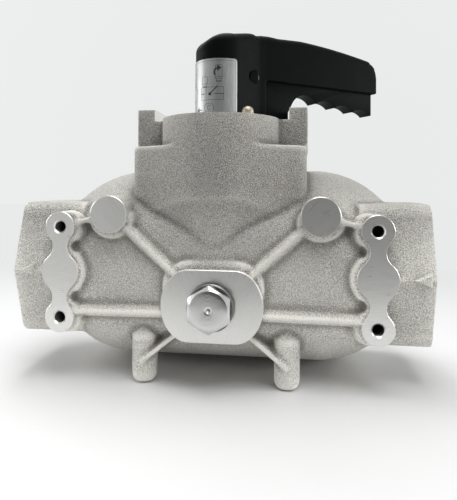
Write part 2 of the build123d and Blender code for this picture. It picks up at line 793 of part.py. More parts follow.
def bypass_poppet(side):
    x = side * BYPASS_X
    disc = depth_rod(x, LOBE_Z, BYPASS_SEAT_Y, POPPET_R, POPPET_T)
    stem_length = BYPASS_CAGE_Y + BYPASS_END_T + 3 - BYPASS_SEAT_Y
    return disc + depth_rod(x, LOBE_Z, BYPASS_SEAT_Y, POPPET_STEM_R, stem_length)


def bypass_spring(side):
    wire = coil(
        BYPASS_COIL_R,
        BYPASS_WIRE_R,
        BYPASS_SEAT_Y + POPPET_T,
        BYPASS_CAGE_Y,
        BYPASS_TURNS,
    )
    plane = Plane((side * BYPASS_X, 0, LOBE_Z), x_dir=(1, 0, 0), z_dir=(0, 1, 0))
    return plane * wire


# Lever: modelled along X from the spindle's axis, then turned to its stop


def at_rest(shape):
    return Pos(0, NECK_Y, 0) * Rot(0, 0, LEVER_ANGLE) * shape


def side_view(sketch, width):
    """Body of a side view: X along the lever, Z up, centred on the lever's plane."""
    plane = Plane((0, width / 2, 0), x_dir=(1, 0, 0), z_dir=(0, -1, 0))
    return extrude(plane * sketch, width)


def across_lever(depth):
    """Place on the pivot's axis, with Z across the lever."""
    return Pos(PIVOT_S, depth, PIVOT_Z) * Rot(90, 0, 0)


def lever_head():
    """Column round the spindle with a domed crown that leans towards the grip."""
    plan = Circle(HUB_R) + Pos(HUB_NOSE_S, 0) * Circle(HUB_NOSE_R)
    column = extrude(Pos(0, 0, HUB_BASE_Z) * make_hull(plan.edges()), LEVER_TOP_Z - HUB_BASE_Z)
    crown = EllipticalCenterArc(
        (CROWN_PEAK_S, LEVER_TOP_Z - CROWN_H),
        CROWN_PEAK_S + HUB_R + 1,
        CROWN_H,
        start_angle=75,
        arc_size=105,
    )
    front = crown @ 0
    back = crown @ 1
    rest = Polyline(front, (front.X, HUB_BASE_Z), (back.X, HUB_BASE_Z), back)
    head = column & side_view(make_face(crown + rest), 3 * HUB_R)
    rim = [
        e
        for e in head.edges()
        if e.center().Z > LEVER_TOP_Z - CROWN_H and e.geom_type != GeomType.LINE
    ]
    return fillet(rim, CROWN_EDGE_R)


def lever_grip():
    end_s = LEVER_END_S - GRIP_END_R
    back = Spline(
        (GRIP_BACK_S, GRIP_BACK_Z), (end_s, GRIP_END_Z), tangents=((1, 0), (1, -0.2))
    )
    rest = Polyline(
        (end_s, GRIP_END_Z),
        (LEVER_END_S, GRIP_END_Z - GRIP_END_R),
        (LEVER_END_S, SKIRT_END_Z),
        (0, SKIRT_Z),
        (0, GRIP_BACK_Z),
        (GRIP_BACK_S, GRIP_BACK_Z),
    )
    grip = side_view(make_face(back + rest), GRIP_W)
    sides = [
        e
        for e in grip.edges()
        if e.center().Z > PIVOT_Z + HUB_NOSE_R and abs(abs(e.center().Y) - GRIP_W / 2) < FIT
    ]
    return fillet(sides, GRIP_EDGE_R)


def lever_shell():
    shell = lever_head() + lever_grip()
    half = SLOT_W / 2
    shell -= block(POCKET_BACK_S, SLOT_START_S, -half, half, POCKET_FLOOR_Z, POCKET_ROOF_Z)
    slot_end = LEVER_END_S - WALL_END_T
    shell -= block(SLOT_START_S, slot_end, -half, half, HUB_BASE_Z - 1, POCKET_ROOF_Z)
    shell -= post(0, 0, HUB_BASE_Z - 1, HUB_SLEEVE_R, SPINDLE_TOP_Z - HUB_BASE_Z + 1)
    shell -= post(0, 0, HUB_BASE_Z - 1, ROD_HEAD_R + 2, POCKET_FLOOR_Z - HUB_BASE_Z + 2)
    for side in (-1, 1):
        depth = side * (GRIP_W / 2 + PIVOT_RECESS_T)
        shell -= across_lever(depth) * Cylinder(PIVOT_RECESS_R, 2 * PIVOT_RECESS_T)
    shell -= across_lever(0) * Cylinder(PIVOT_R, 3 * HUB_R)
    return shell - clamp_screw_body(FIT)


def clamp_screw_body(gap):
    """Screw that clamps the hub on the spindle, or its hole with a gap round it."""
    start = CLAMP_SINK - HUB_R
    plane = Plane((start, 0, (HUB_BASE_Z + SPINDLE_TOP_Z) / 2), z_dir=(1, 0, 0))
    return plane * Cylinder(CLAMP_R + gap, -start - SPINDLE_R, align=LOWEST)


def hub_sleeve():
    ring = post(0, 0, HUB_BASE_Z, HUB_SLEEVE_R, SPINDLE_TOP_Z - HUB_BASE_Z)
    ring -= post(0, 0, HUB_BASE_Z, SPINDLE_R, SPINDLE_TOP_Z - HUB_BASE_Z)
    return ring - clamp_screw_body(FIT)


def label_plate():
    height = LABEL_TOP_Z - LABEL_LOW_Z
    inner = HUB_R + LABEL_GAP
    ring = post(0, 0, LABEL_LOW_Z, inner + LABEL_T, height)
    ring -= post(0, 0, LABEL_LOW_Z, inner, height)
    half_open = math.radians(180 - LABEL_HALF_ANGLE)
    reach = 2 * HUB_R
    corners = Polyline(
        (0, 0),
        (reach * math.cos(half_open), reach * math.sin(half_open)),
        (reach * 2, 0),
        (reach * math.cos(half_open), -reach * math.sin(half_open)),
        close=True,
    )
    wedge = extrude(Pos(0, 0, LABEL_LOW_Z) * make_face(corners), height)
    plate = ring - wedge
    ends = [e for e in plate.edges() if e.geom_type == GeomType.LINE and e.length < 1]
    return fillet(ends, 3)


def pivot_pin():
    """Headed pin that stops just inside the recess on each side of the lever."""
    pin = across_lever(0) * Cylinder(PIVOT_R, GRIP_W)
    for side in (-1, 1):
        depth = side * (GRIP_W + PIVOT_HEAD_T) / 2
        pin += across_lever(depth) * Cylinder(PIVOT_HEAD_R, PIVOT_HEAD_T)
    return pin


def trigger_outline():
    """Side view of the trigger: arm, web beside the stop lug and finger grip."""
    cusps = []
    for i in range(FINGER_COUNT + 1):
        s = FIRST_CUSP_S + i * FINGER_PITCH
        cusps.append((s, FIRST_CUSP_Z - i * FINGER_PITCH * FINGER_SLOPE))
    outline = Polyline(
        cusps[-1],
        (TRIGGER_END_S, cusps[-1][1] + 1),
        (TRIGGER_END_S, TRIGGER_TOP_Z),
        (ARM_BACK_S, TRIGGER_TOP_Z),
        (ARM_BACK_S, ROD_TOP_Z + ARM_GAP),
        (ARM_END_S, ROD_TOP_Z + ARM_GAP),
        (WEB_START_S, WEB_SHOULDER_Z),
        (WEB_START_S, WEB_LOW_Z),
        (WEB_END_S, WEB_LOW_Z),
        (WEB_END_S, LUG_TOP_Z),
        (WEB_TOP_S, WEB_TOP_Z),
    )
    outline += ThreePointArc((WEB_TOP_S, WEB_TOP_Z), (PALM_S, PALM_Z), cusps[0])
    for low, high in zip(cusps, cusps[1:]):
        crown_s = (low[0] + high[0]) / 2 + SCALLOP_LEAN
        crown_z = (low[1] + high[1]) / 2 + SCALLOP_DEPTH
        outline += ThreePointArc(low, (crown_s, crown_z), high)
    return make_face(outline)


def grip_trigger():
    trigger = side_view(trigger_outline(), TRIGGER_W)
    return trigger - across_lever(0) * Cylinder(PIVOT_R + RUN, 3 * HUB_R)


parts = {
    "head_casting": head_casting(),
    "front_plug": front_plug(),
    "front_plug_seal": front_plug_seal(),
    "valve_cover": valve_cover(),
    "cover_seal": cover_seal(),
    "cover_screws": cover_screws(),
    "vent_stud": vent_stud(),
    "vent_washer": vent_washer(),
    "vent_cap": vent_cap(),
    "upper_bush": upper_bush(),
    "spindle_seal": spindle_seal(),
    "lower_bush": lower_bush(),
    "upper_thrust_washer": thrust_ring(DRUM_TOP_Z + RUN, 14),
    "lower_thrust_washer": thrust_ring(CHAMBER_FLOOR_Z, 14),
    "spindle": spindle(),
    "valve_drum": valve_drum(),
    "drum_key": drum_key(),
    "equalising_rod": equalising_rod(),
    "rod_spring": rod_spring(),
    "lever_shell": at_rest(lever_shell()),
    "hub_sleeve": at_rest(hub_sleeve()),
    "clamp_screw": at_rest(clamp_screw_body(0)),
    "label_plate": at_rest(label_plate()),
    "pivot_pin": at_rest(pivot_pin()),
    "grip_trigger": at_rest(grip_trigger()),
}
for side, word in ((-1, "left"), (1, "right")):
    parts[f"socket_seal_{word}"] = socket_seal(side)
    parts[f"element_spigot_{word}"] = element_spigot(side)
    parts[f"spigot_seal_{word}"] = spigot_seal(side)
    parts[f"bypass_body_{word}"] = bypass_body(side)
    parts[f"bypass_poppet_{word}"] = bypass_poppet(side)
    parts[f"bypass_spring_{word}"] = bypass_spring(side)

for name, shape in parts.items():
    save(shape, name)
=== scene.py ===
import math

import bpy
import numpy as np
from mathutils import Matrix, Vector


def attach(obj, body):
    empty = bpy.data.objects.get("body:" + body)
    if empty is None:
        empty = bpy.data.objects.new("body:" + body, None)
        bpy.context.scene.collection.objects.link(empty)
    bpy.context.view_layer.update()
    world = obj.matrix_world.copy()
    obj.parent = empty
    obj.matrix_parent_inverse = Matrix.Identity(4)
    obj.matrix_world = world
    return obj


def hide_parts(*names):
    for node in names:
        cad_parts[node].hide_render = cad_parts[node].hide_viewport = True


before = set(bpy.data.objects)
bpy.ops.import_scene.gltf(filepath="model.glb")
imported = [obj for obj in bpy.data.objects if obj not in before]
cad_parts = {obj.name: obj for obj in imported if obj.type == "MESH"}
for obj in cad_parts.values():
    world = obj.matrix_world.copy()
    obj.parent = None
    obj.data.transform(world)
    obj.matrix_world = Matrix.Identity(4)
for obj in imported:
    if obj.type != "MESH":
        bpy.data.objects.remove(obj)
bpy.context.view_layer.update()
MM = 0.001


# Camera
# Held level with the neck's plinth, a little to the right of the valve, and turned left by
# eight degrees. Its place and lens come from a fit to the photograph.
CAMERA_PLACE = (66.77 * MM, -381.14 * MM, 69.30 * MM)
CAMERA_YAW = 8.053
CAMERA_PITCH = 0.609
CAMERA_ROLL = 0.199
SENSOR_WIDTH = 36.0
FOCAL_SHARE = 498.96 / 500
RISE_SHARE = (181.55 - 250) / 500
CLIP_START = 10 * MM

bpy.ops.object.camera_add(location=CAMERA_PLACE)
camera = bpy.context.object
camera.name = "camera"
camera.data.sensor_width = SENSOR_WIDTH
camera.data.lens = FOCAL_SHARE * SENSOR_WIDTH
camera.data.shift_y = RISE_SHARE
turn = Matrix.Rotation(math.radians(CAMERA_YAW), 4, "Z")
tilt = Matrix.Rotation(math.radians(90 + CAMERA_PITCH), 4, "X")
roll = Matrix.Rotation(math.radians(CAMERA_ROLL), 4, "Z")
camera.matrix_world = Matrix.Translation(CAMERA_PLACE) @ turn @ tilt @ roll
camera.data.clip_start = CLIP_START
bpy.context.scene.camera = camera
bpy.context.scene.view_settings.view_transform = "Standard"


# Casting
# The head is sand cast in aluminium alloy, then shot blasted, which leaves a fine even
# grain. Only the faces that seal or bolt are milled afterwards, and the bores turned.
# Its body has a round lobe over each bowl socket, with a rim behind.
LOBE_X = 80.0
LOBE_Z = -1.6
LOBE_R = 86.4
FLAT_R = 28.0
LOBE_AXIS_R = 1.0
FRONT_Y = 7.0
SHOULDER_Y = 110.0
BACK_Y = 112.0
LOBE_SIDES = 128
SHOULDER_STEPS = 24
RIM_R = 78.0
RIM_BACK_Y = 122.0
RIM_CHAMFER = 2.0
RIM_SINK = 6.0


def deselect():
    """Leaves nothing selected, since an operator acts on all that is."""
    bpy.ops.object.select_all(action="DESELECT")


def alone(piece):
    """Only this piece is selected and active."""
    deselect()
    piece.select_set(True)
    bpy.context.view_layer.objects.active = piece


def settle(piece, name, turn=Matrix.Identity(4), place=(0, 0, 0)):
    """Puts a new solid in its place in its own mesh, with its faces outwards."""
    if bpy.context.object.mode != "OBJECT":
        bpy.ops.object.mode_set(mode="OBJECT")
    away = Matrix.Translation([c * MM for c in place])
    piece.data.transform(away @ turn @ piece.matrix_world)
    piece.matrix_world = Matrix.Identity(4)
    alone(piece)
    bpy.ops.object.mode_set(mode="EDIT")
    bpy.ops.mesh.select_all(action="SELECT")
    bpy.ops.mesh.normals_make_consistent(inside=False)
    bpy.ops.object.mode_set(mode="OBJECT")
    piece.name = name
    return piece


# A solid lies along its own Z first, and this turns that to the depth
TO_DEPTH = Matrix.Rotation(math.radians(-90), 4, "X")


def turned(name, profile, turn=Matrix.Identity(4), place=(0, 0, 0), sides=96):
    """Solid turned on a lathe, from pairs of radius and height."""
    deselect()
    radius, height = profile[0]
    bpy.ops.mesh.primitive_circle_add(
        vertices=sides, radius=radius * MM, location=(0, 0, height * MM), fill_type="NGON"
    )
    piece = bpy.context.object
    bpy.ops.object.mode_set(mode="EDIT")
    for next_radius, next_height in profile[1:]:
        rise = (next_height - height) * MM
        bpy.ops.mesh.extrude_region_move(TRANSFORM_OT_translate={"value": (0, 0, rise)})
        share = next_radius / radius
        bpy.ops.transform.resize(
            value=(share, share, 1), center_override=(0, 0, next_height * MM)
        )
        radius, height = next_radius, next_height
    return settle(piece, name, turn, place)


shoulder = [(LOBE_AXIS_R, FRONT_Y), (FLAT_R, FRONT_Y)]
for step in range(1, SHOULDER_STEPS + 1):
    lean = math.radians(90 * step / SHOULDER_STEPS)
    across = FLAT_R + (LOBE_R - FLAT_R) * math.sin(lean)
    shoulder.append((across, SHOULDER_Y - (SHOULDER_Y - FRONT_Y) * math.cos(lean)))
shoulder += [(LOBE_R, BACK_Y), (LOBE_AXIS_R, BACK_Y)]
half_step = Matrix.Rotation(math.pi / LOBE_SIDES, 4, "Z")
pillow = turned("pillow", shoulder, TO_DEPTH @ half_step, (0, 0, LOBE_Z), sides=LOBE_SIDES)
# Cut in two upright halves, which are set apart by the distance of the lobes
for vertex in pillow.data.vertices:
    vertex.co.x += math.copysign(LOBE_X * MM, vertex.co.x)
blank = [pillow]
for side in (-1, 1):
    profile = [(RIM_R, BACK_Y - RIM_SINK), (RIM_R, RIM_BACK_Y - RIM_CHAMFER)]
    profile.append((RIM_R - RIM_CHAMFER, RIM_BACK_Y))
    blank.append(turned("rim", profile, TO_DEPTH, (side * LOBE_X, 0, LOBE_Z)))

# Pipe port block on each end, with a leaning front that meets in a ridge
PORT_END_X = 168.0
PORT_ROOT_X = 114.0
PORT_HALF_H = 56.0
PORT_RIDGE_Y = 6.0
PORT_EDGE_Y = 19.0
PORT_BACK_Y = 100.0
PORT_CORNER_R = 13.0
PORT_FRONT_LEAN = 4
CORNER_STEPS = 8
MILLING_ALLOWANCE = 4.0
# Outline of Y and Z that runs along X
ALONG_PIPE = Matrix(((0, 0, 1, 0), (1, 0, 0, 0), (0, 1, 0, 0), (0, 0, 0, 1)))


def stacked(name, layers, turn=Matrix.Identity(4)):
    """Solid through outlines of X and Y, each with its own height."""
    deselect()
    count = len(layers[0][0])
    bpy.ops.mesh.primitive_circle_add(vertices=count, radius=MM, fill_type="NGON")
    piece = bpy.context.object
    bpy.ops.object.mode_set(mode="EDIT")
    for _ in layers[1:]:
        bpy.ops.mesh.extrude_region_move(TRANSFORM_OT_translate={"value": (0, 0, MM)})
    bpy.ops.object.mode_set(mode="OBJECT")
    for i, (outline, height) in enumerate(layers):
        ring = piece.data.vertices[i * count:(i + 1) * count]
        for vertex, (x, y) in zip(ring, outline):
            vertex.co = (x * MM, y * MM, height * MM)
    return settle(piece, name, turn)


def sawn(name, outline, low, high, turn=Matrix.Identity(4), far=None):
    """Plate cut to an outline of X and Y, drafted to a second outline at its far side."""
    return stacked(name, [(outline, low), (far or outline, high)], turn)


def arc(centre, radius, start, end, steps):
    """Points on an arc, in degrees."""
    angles = [math.radians(start + (end - start) * i / steps) for i in range(steps + 1)]
    return [
        (centre[0] + radius * math.cos(a), centre[1] + radius * math.sin(a)) for a in angles
    ]


front_y = PORT_EDGE_Y + PORT_CORNER_R
behind_y = PORT_BACK_Y - PORT_CORNER_R
corner_z = PORT_HALF_H - PORT_CORNER_R
port_outline = [(PORT_RIDGE_Y, 0)]
for y, z, start, end in (
    (front_y, -corner_z, 180 + PORT_FRONT_LEAN, 270),
    (behind_y, -corner_z, 270, 360),
    (behind_y, corner_z, 0, 90),
    (front_y, corner_z, 90, 180 - PORT_FRONT_LEAN),
):
    port_outline += arc((y, z), PORT_CORNER_R, start, end, CORNER_STEPS)
for side in (-1, 1):
    near, far = side * PORT_ROOT_X, side * (PORT_END_X + MILLING_ALLOWANCE)
    blank.append(sawn("port", port_outline, near, far, ALONG_PIPE))

# Neck, tapered below where it runs into the body
NECK_Y = 44.0
NECK_R = 50.0
NECK_TOP_Z = 126.5
TAPER_TOP_Z = 60.0
TAPER_LOW_Z = 24.0
TAPER_LOW_R = 37.5
TAPER_ROOT_R = 29.5
TAPER_ROOT_Z = 0.0
neck_profile = [
    (TAPER_ROOT_R, TAPER_ROOT_Z),
    (TAPER_LOW_R, TAPER_LOW_Z),
    (NECK_R, TAPER_TOP_Z),
    (NECK_R, NECK_TOP_Z + MILLING_ALLOWANCE),
]
blank.append(turned("neck", neck_profile, place=(0, NECK_Y, 0), sides=128))

# Plinth round the neck
PLINTH_HALF_W = 73.0
PLINTH_FRONT_Y = 21.0
PLINTH_BACK_Y = 92.0
PLINTH_CORNER_R = 12.0
PLINTH_TOP_Z = 103.0
PLINTH_LOW_Z = 46.0


def wrapped(name, circles):
    """Solid whose skin is pulled tight round some upright rounds."""
    deselect()
    rounds = []
    for x, y, radius, low, high in circles:
        bpy.ops.mesh.primitive_cylinder_add(
            vertices=64,
            radius=radius * MM,
            depth=(high - low) * MM,
            location=(x * MM, y * MM, (low + high) / 2 * MM),
        )
        rounds.append(bpy.context.object)
    for each in rounds:
        each.select_set(True)
    bpy.ops.object.join()
    bpy.ops.object.mode_set(mode="EDIT")
    bpy.ops.mesh.select_all(action="SELECT")
    bpy.ops.mesh.convex_hull()
    return settle(bpy.context.object, name)


corner_x = PLINTH_HALF_W - PLINTH_CORNER_R
circles = [(0, NECK_Y, NECK_R, TAPER_TOP_Z, PLINTH_TOP_Z)]
circles.append((0, NECK_Y, TAPER_LOW_R, TAPER_LOW_Z, TAPER_TOP_Z))
for x in (-corner_x, corner_x):
    for y in (PLINTH_FRONT_Y + PLINTH_CORNER_R, PLINTH_BACK_Y - PLINTH_CORNER_R):
        circles.append((x, y, PLINTH_CORNER_R, PLINTH_LOW_Z, PLINTH_TOP_Z))
blank.append(wrapped("plinth", circles))

# The two lugs that stop the lever, each tied to the neck
LUG_IN_X = 58.5
LUG_OUT_X = 74.0
LUG_FRONT_Y = 42.0
LUG_BACK_Y = 85.0
LUG_TOP_Z = 136.5
LUG_OVERLAP = 2.0
LUG_SINK = 6.0
TIE_SINK = 12.0


def box(name, low, high):
    """Block between two corners."""
    deselect()
    middle = [(a + b) / 2 * MM for a, b in zip(low, high)]
    bpy.ops.mesh.primitive_cube_add(size=1, location=middle)
    piece = bpy.context.object
    piece.scale = [(b - a) * MM for a, b in zip(low, high)]
    bpy.context.view_layer.update()
    return settle(piece, name)


low_z = PLINTH_TOP_Z - LUG_SINK
for side in (-1, 1):
    inner, outer = sorted((side * (LUG_IN_X - LUG_OVERLAP), side * LUG_OUT_X))
    blank.append(box("lug", (inner, LUG_FRONT_Y, low_z), (outer, LUG_BACK_Y, LUG_TOP_Z)))
    inner, outer = sorted((side * (NECK_R - TIE_SINK), side * LUG_IN_X))
    blank.append(box("tie", (inner, LUG_FRONT_Y, low_z), (outer, LUG_BACK_Y, NECK_TOP_Z)))

# Mounting pads and discs. Each is a mesa with a milled top, and the rough frame beside it
# belongs to the blank. A frame fades out on the side where the photograph shows none.
PAD_X = 125.0
PAD_HOLE_Z = 36.5
PAD_END_R = 12.2
PAD_MIDDLE_R = 15.5
PAD_WAIST_R = 11.45
PAD_WAIST_X = 17.45
PAD_WAIST_Z = 20.53
MESA_ROOT_Y = 40.0
DISC_X = 83.0
DISC_Z = 47.0
DISC_R = 14.9
DISC_FACE_Y = -3.0
FRAME_Y = 2.2
FRAME_ROOT_Y = 10.0
FRAME_W = 4.0
FRAME_ROOT_W = 7.0
FRAME_OUTER_W = -1.5
PAD_FADE_X = 9.0
DISC_FADE_START = 0.45
DISC_FADE_SLOPE = 1.2
DISC_FRAME_END_Y = 26.0
EDGE_BREAK = 0.22
MESA_DRAFT = 0.6

# Look of the rough skin: sizes of its grain, and the heights between which it goes from the
# painted shade above to the lit tone below, with a dark colour for the hollows and a light one
# for the crests of each. The hollows and crests are those of the grain, with painted shade in the
# casting's hollows and a painted highlight on its edges.
DENT_SIZE = 0.85
GRAIN_SIZE = 0.5
COARSE_SIZE = 2.2
PATCH_SIZE = 45.0
PIT_SPACING = 6.0
SHADED_FROM_Z = 68.0
LIT_FROM_Z = 2.0
SHADED_SKIN = ((0.12, 0.116, 0.105), (0.56, 0.546, 0.508))
LIT_SKIN = ((0.30, 0.291, 0.264), (1.0, 0.985, 0.93))

# Look of the milled faces: radius and feed of the cutter that swept them
CUTTER_R = 40.0
CUTTER_FEED = 1.7
SCUFF_SIZE = 0.9
CLOUD_SIZE = 9.0
MILLED_METAL = ((0.72, 0.715, 0.69), (0.90, 0.895, 0.87))


class Wire:
    """Socket in a wrapper, so that the maths of a material reads as an expression."""

    def __init__(self, tree, socket):
        self.tree = tree
        self.socket = socket

    def maths(self, operation, other, swap=False):
        """One Math node on this value and another."""
        values = [other, self] if swap else [self, other]
        return node(self.tree, "ShaderNodeMath", {"operation": operation}, values)

    def __add__(self, other):
        return self.maths("ADD", other)

    def __radd__(self, other):
        return self.maths("ADD", other, True)

    def __sub__(self, other):
        return self.maths("SUBTRACT", other)

    def __rsub__(self, other):
        return self.maths("SUBTRACT", other, True)

    def __mul__(self, other):
        return self.maths("MULTIPLY", other)

    def __rmul__(self, other):
        return self.maths("MULTIPLY", other, True)


def node(tree, kind, settings, values, output=0):
    """Adds one node: its settings, then values or links by place or by name."""
    made = tree.nodes.new(kind)
    for name, value in settings.items():
        if name == "stops":
            ramp = made.color_ramp
            while len(ramp.elements) < len(value):
                ramp.elements.new(0.5)
            for element, (place, colour) in zip(ramp.elements, value):
                element.position = place
                element.color = (*colour, 1)
        else:
            setattr(made, name, value)
    pairs = values.items() if isinstance(values, dict) else enumerate(values)
    for key, value in pairs:
        if isinstance(value, Wire):
            tree.links.new(value.socket, made.inputs[key])
        else:
            made.inputs[key].default_value = value
    return Wire(tree, made.outputs[output])


def new_tree(name):
    """New material with its node tree and its shader."""
    made = bpy.data.materials.new(name)
    made.use_nodes = True
    tree = made.node_tree
    return made, tree, tree.nodes["Principled BSDF"]


def feed(shader, name, value):
    """Gives a socket of the shader a value or a link."""
    if isinstance(value, Wire):
        value.tree.links.new(value.socket, shader.inputs[name])
    else:
        shader.inputs[name].default_value = value


def place_on_piece(tree, scale=(1, 1, 1), move=(0, 0, 0)):
    """Place on the piece in metres, stretched by a scale for each axis and then moved."""
    spot = node(tree, "ShaderNodeTexCoord", {}, [], "Object")
    values = {"Vector": spot, "Scale": scale, "Location": move}
    return node(tree, "ShaderNodeMapping", {}, values)


def axes(vector):
    """The three numbers of a vector."""
    parts = node(vector.tree, "ShaderNodeSeparateXYZ", {}, [vector]).socket.node
    return [Wire(vector.tree, socket) for socket in parts.outputs]


def coat_with(piece, material):
    """Gives the whole piece one material."""
    piece.data.materials.clear()
    piece.data.materials.append(material)


def blend(factor, *ends):
    """Colour between two colours, plain or wired, by a factor."""
    dark, light = (end if isinstance(end, Wire) else (*end, 1) for end in ends)
    values = {0: factor, 6: dark, 7: light}
    return node(factor.tree, "ShaderNodeMix", {"data_type": "RGBA"}, values, 2)


def noise(spot, size, detail):
    """Noise from 0 to 1 whose spots are about size millimetres wide."""
    values = {"Vector": spot, "Scale": 1 / (size * MM), "Detail": detail}
    return node(spot.tree, "ShaderNodeTexNoise", {}, values)


def stretched(factor, low, high):
    """Factor stretched so that low becomes 0 and high becomes 1."""
    values = {"Value": factor, "From Min": low, "From Max": high}
    return node(factor.tree, "ShaderNodeMapRange", {}, values)


def bumped(height, depth):
    """Normal of a surface with this height, whose full depth is in millimetres."""
    values = {"Height": height, "Distance": depth * MM}
    return node(height.tree, "ShaderNodeBump", {}, values)


def shot_blasted(name):
    """Grey metal with dense dents, a few pits and patches where the sand was coarser, with
    painted shade on its upper part and in its hollows, and a painted highlight on its edges.
    """
    made, tree, shader = new_tree(name)
    spot = place_on_piece(tree)
    relief = node(tree, "ShaderNodeAttribute", {"attribute_name": "relief"}, [], 2)
    dents = noise(spot, DENT_SIZE, 0.0)
    fine = noise(spot, GRAIN_SIZE, 0.0)
    coarse = noise(spot, COARSE_SIZE, 1.0)
    patches = stretched(noise(spot, PATCH_SIZE, 2.0), 0.4, 0.6)
    values = {"Vector": spot, "Scale": 1 / (PIT_SPACING * MM)}
    cells = node(tree, "ShaderNodeTexVoronoi", {"feature": "F1"}, values)
    pits = stretched(cells, 0.09, 0.05)
    height = dents * 0.6 + fine * 0.4 + coarse * (patches * 0.35 + 0.15) - pits * 1.5
    # The tone takes a painted highlight on edges and a painted shade in hollows from the relief
    # attribute
    light = stretched(dents * 0.45 + fine * 0.55 + relief * 0.34, 0.29, 0.71)
    # Painted shade: the upper part of the skin is darker, fading into the lit tone lower down
    lit_share = stretched(axes(spot)[2], SHADED_FROM_Z * MM, LIT_FROM_Z * MM)
    shaded_tone = blend(light, *SHADED_SKIN)
    lit_tone = blend(light, *LIT_SKIN)
    feed(shader, "Base Color", blend(lit_share, shaded_tone, lit_tone))
    feed(shader, "Roughness", stretched(light, -3.0, 2.2))
    feed(shader, "Metallic", 0.3)
    feed(shader, "Normal", bumped(height, 1.0))
    return made


def face_milled(name):
    """Bright metal with the faint arcs of a wide cutter that fed down the pads."""
    made, tree, shader = new_tree(name)
    spot = place_on_piece(tree)
    across, depth, height = axes(spot)
    off_axis = across.maths("ABSOLUTE", 0.0) - PAD_X * MM
    sweep = height + off_axis * off_axis * (1 / (2 * CUTTER_R * MM)) + depth
    patches = noise(spot, CLOUD_SIZE, 1.0)
    cut = (sweep * (2 * math.pi / (CUTTER_FEED * MM)) + patches * 5).maths("SINE", 0.0)
    line = node(tree, "ShaderNodeCombineXYZ", {}, [off_axis * 0.06, depth, sweep])
    scuffs = noise(line, SCUFF_SIZE, 3.0)
    mark = cut * (patches * 0.22) + scuffs * 0.7 + 0.15
    feed(shader, "Base Color", blend(mark, *MILLED_METAL))
    feed(shader, "Roughness", mark * 0.08 + 0.25)
    feed(shader, "Metallic", 0.85)
    feed(shader, "Normal", bumped(mark, 0.02))
    return made


def dumbbell(grow):
    """Outline of a mounting pad round its own middle, from the lower end upwards."""
    to_end = math.degrees(math.atan2(PAD_WAIST_X, PAD_HOLE_Z - PAD_WAIST_Z))
    to_middle = math.degrees(math.atan2(PAD_WAIST_X, PAD_WAIST_Z))
    waist = PAD_WAIST_R - grow
    right = arc((0, -PAD_HOLE_Z), PAD_END_R + grow, -90, 90 - to_end, 16)
    right += arc((PAD_WAIST_X, -PAD_WAIST_Z), waist, 270 - to_end, 90 + to_middle, 8)[1:]
    right += arc((0, 0), PAD_MIDDLE_R + grow, to_middle - 90, 90 - to_middle, 16)[1:]
    right += arc((PAD_WAIST_X, PAD_WAIST_Z), waist, 270 - to_middle, 90 + to_end, 8)[1:]
    right += arc((0, PAD_HOLE_Z), PAD_END_R + grow, to_end - 90, 90, 16)[1:]
    return right + [(-x, z) for x, z in reversed(right[1:-1])]


def beside(points, x):
    """Outline moved sideways."""
    return [(px + x, pz) for px, pz in points]


def partly(narrow, wide, share_at):
    """Outline between two others, by a share for the place of each point."""
    mixed = []
    for (x0, z0), (x1, z1) in zip(narrow, wide):
        share = min(1.0, max(0.0, share_at(x0, z0)))
        mixed.append((x0 + (x1 - x0) * share, z0 + (z1 - z0) * share))
    return mixed


def inner_side(grow, side):
    """Outline round a pad that is wide towards the middle of the head only."""
    narrow, wide = dumbbell(FRAME_OUTER_W), dumbbell(grow)
    return partly(narrow, wide, lambda x, z: -side * x / PAD_FADE_X)


def lower_side(grow):
    """Outline round a disc that is wide below it only."""
    wide = []
    for x, z in arc((0, 0), 1, 0, 355, 71):
        share = min(1.0, max(0.0, DISC_FADE_START - DISC_FADE_SLOPE * z))
        radius = DISC_R + FRAME_OUTER_W + (grow - FRAME_OUTER_W) * share
        wide.append((radius * x, DISC_Z + radius * z))
    return wide


def milled_on_top(piece, face_y):
    """Solid as cast, but for its milled face and the broken edge round it."""
    coat_with(piece, blasted)
    piece.data.materials.append(milled)
    for face in piece.data.polygons:
        face.material_index = int(face.center.y < (face_y + EDGE_BREAK) * MM)
    return piece


# Seen from the front: an outline of X and Z that runs away from the viewer
FACE_ON = Matrix.Rotation(math.radians(90), 4, "X")
blasted = shot_blasted("blasted_aluminium")
milled = face_milled("milled_aluminium")
mesa_layers = [(-EDGE_BREAK, 0), (0, -EDGE_BREAK), (MESA_DRAFT, -MESA_ROOT_Y)]
mesas = []
for side in (-1, 1):
    pad_x = side * PAD_X
    layers = [(beside(dumbbell(grow), pad_x), height) for grow, height in mesa_layers]
    mesas.append(milled_on_top(stacked("pad", layers, FACE_ON), 0))
    outline, root = (beside(inner_side(grow, side), pad_x) for grow in (FRAME_W, FRAME_ROOT_W))
    blank.append(sawn("pad_frame", outline, -FRAME_Y, -FRAME_ROOT_Y, FACE_ON, root))
    disc_x = side * DISC_X
    profile = [(DISC_R - EDGE_BREAK, DISC_FACE_Y), (DISC_R, DISC_FACE_Y + EDGE_BREAK)]
    profile.append((DISC_R + MESA_DRAFT, MESA_ROOT_Y))
    disc = turned("disc", profile, TO_DEPTH, (disc_x, 0, DISC_Z))
    mesas.append(milled_on_top(disc, DISC_FACE_Y))
    outline, root = (beside(lower_side(grow), disc_x) for grow in (FRAME_W, FRAME_ROOT_W))
    layers = [(outline, -FRAME_Y), (root, -FRAME_ROOT_Y), (root, -DISC_FRAME_END_Y)]
    blank.append(stacked("disc_frame", layers, FACE_ON))

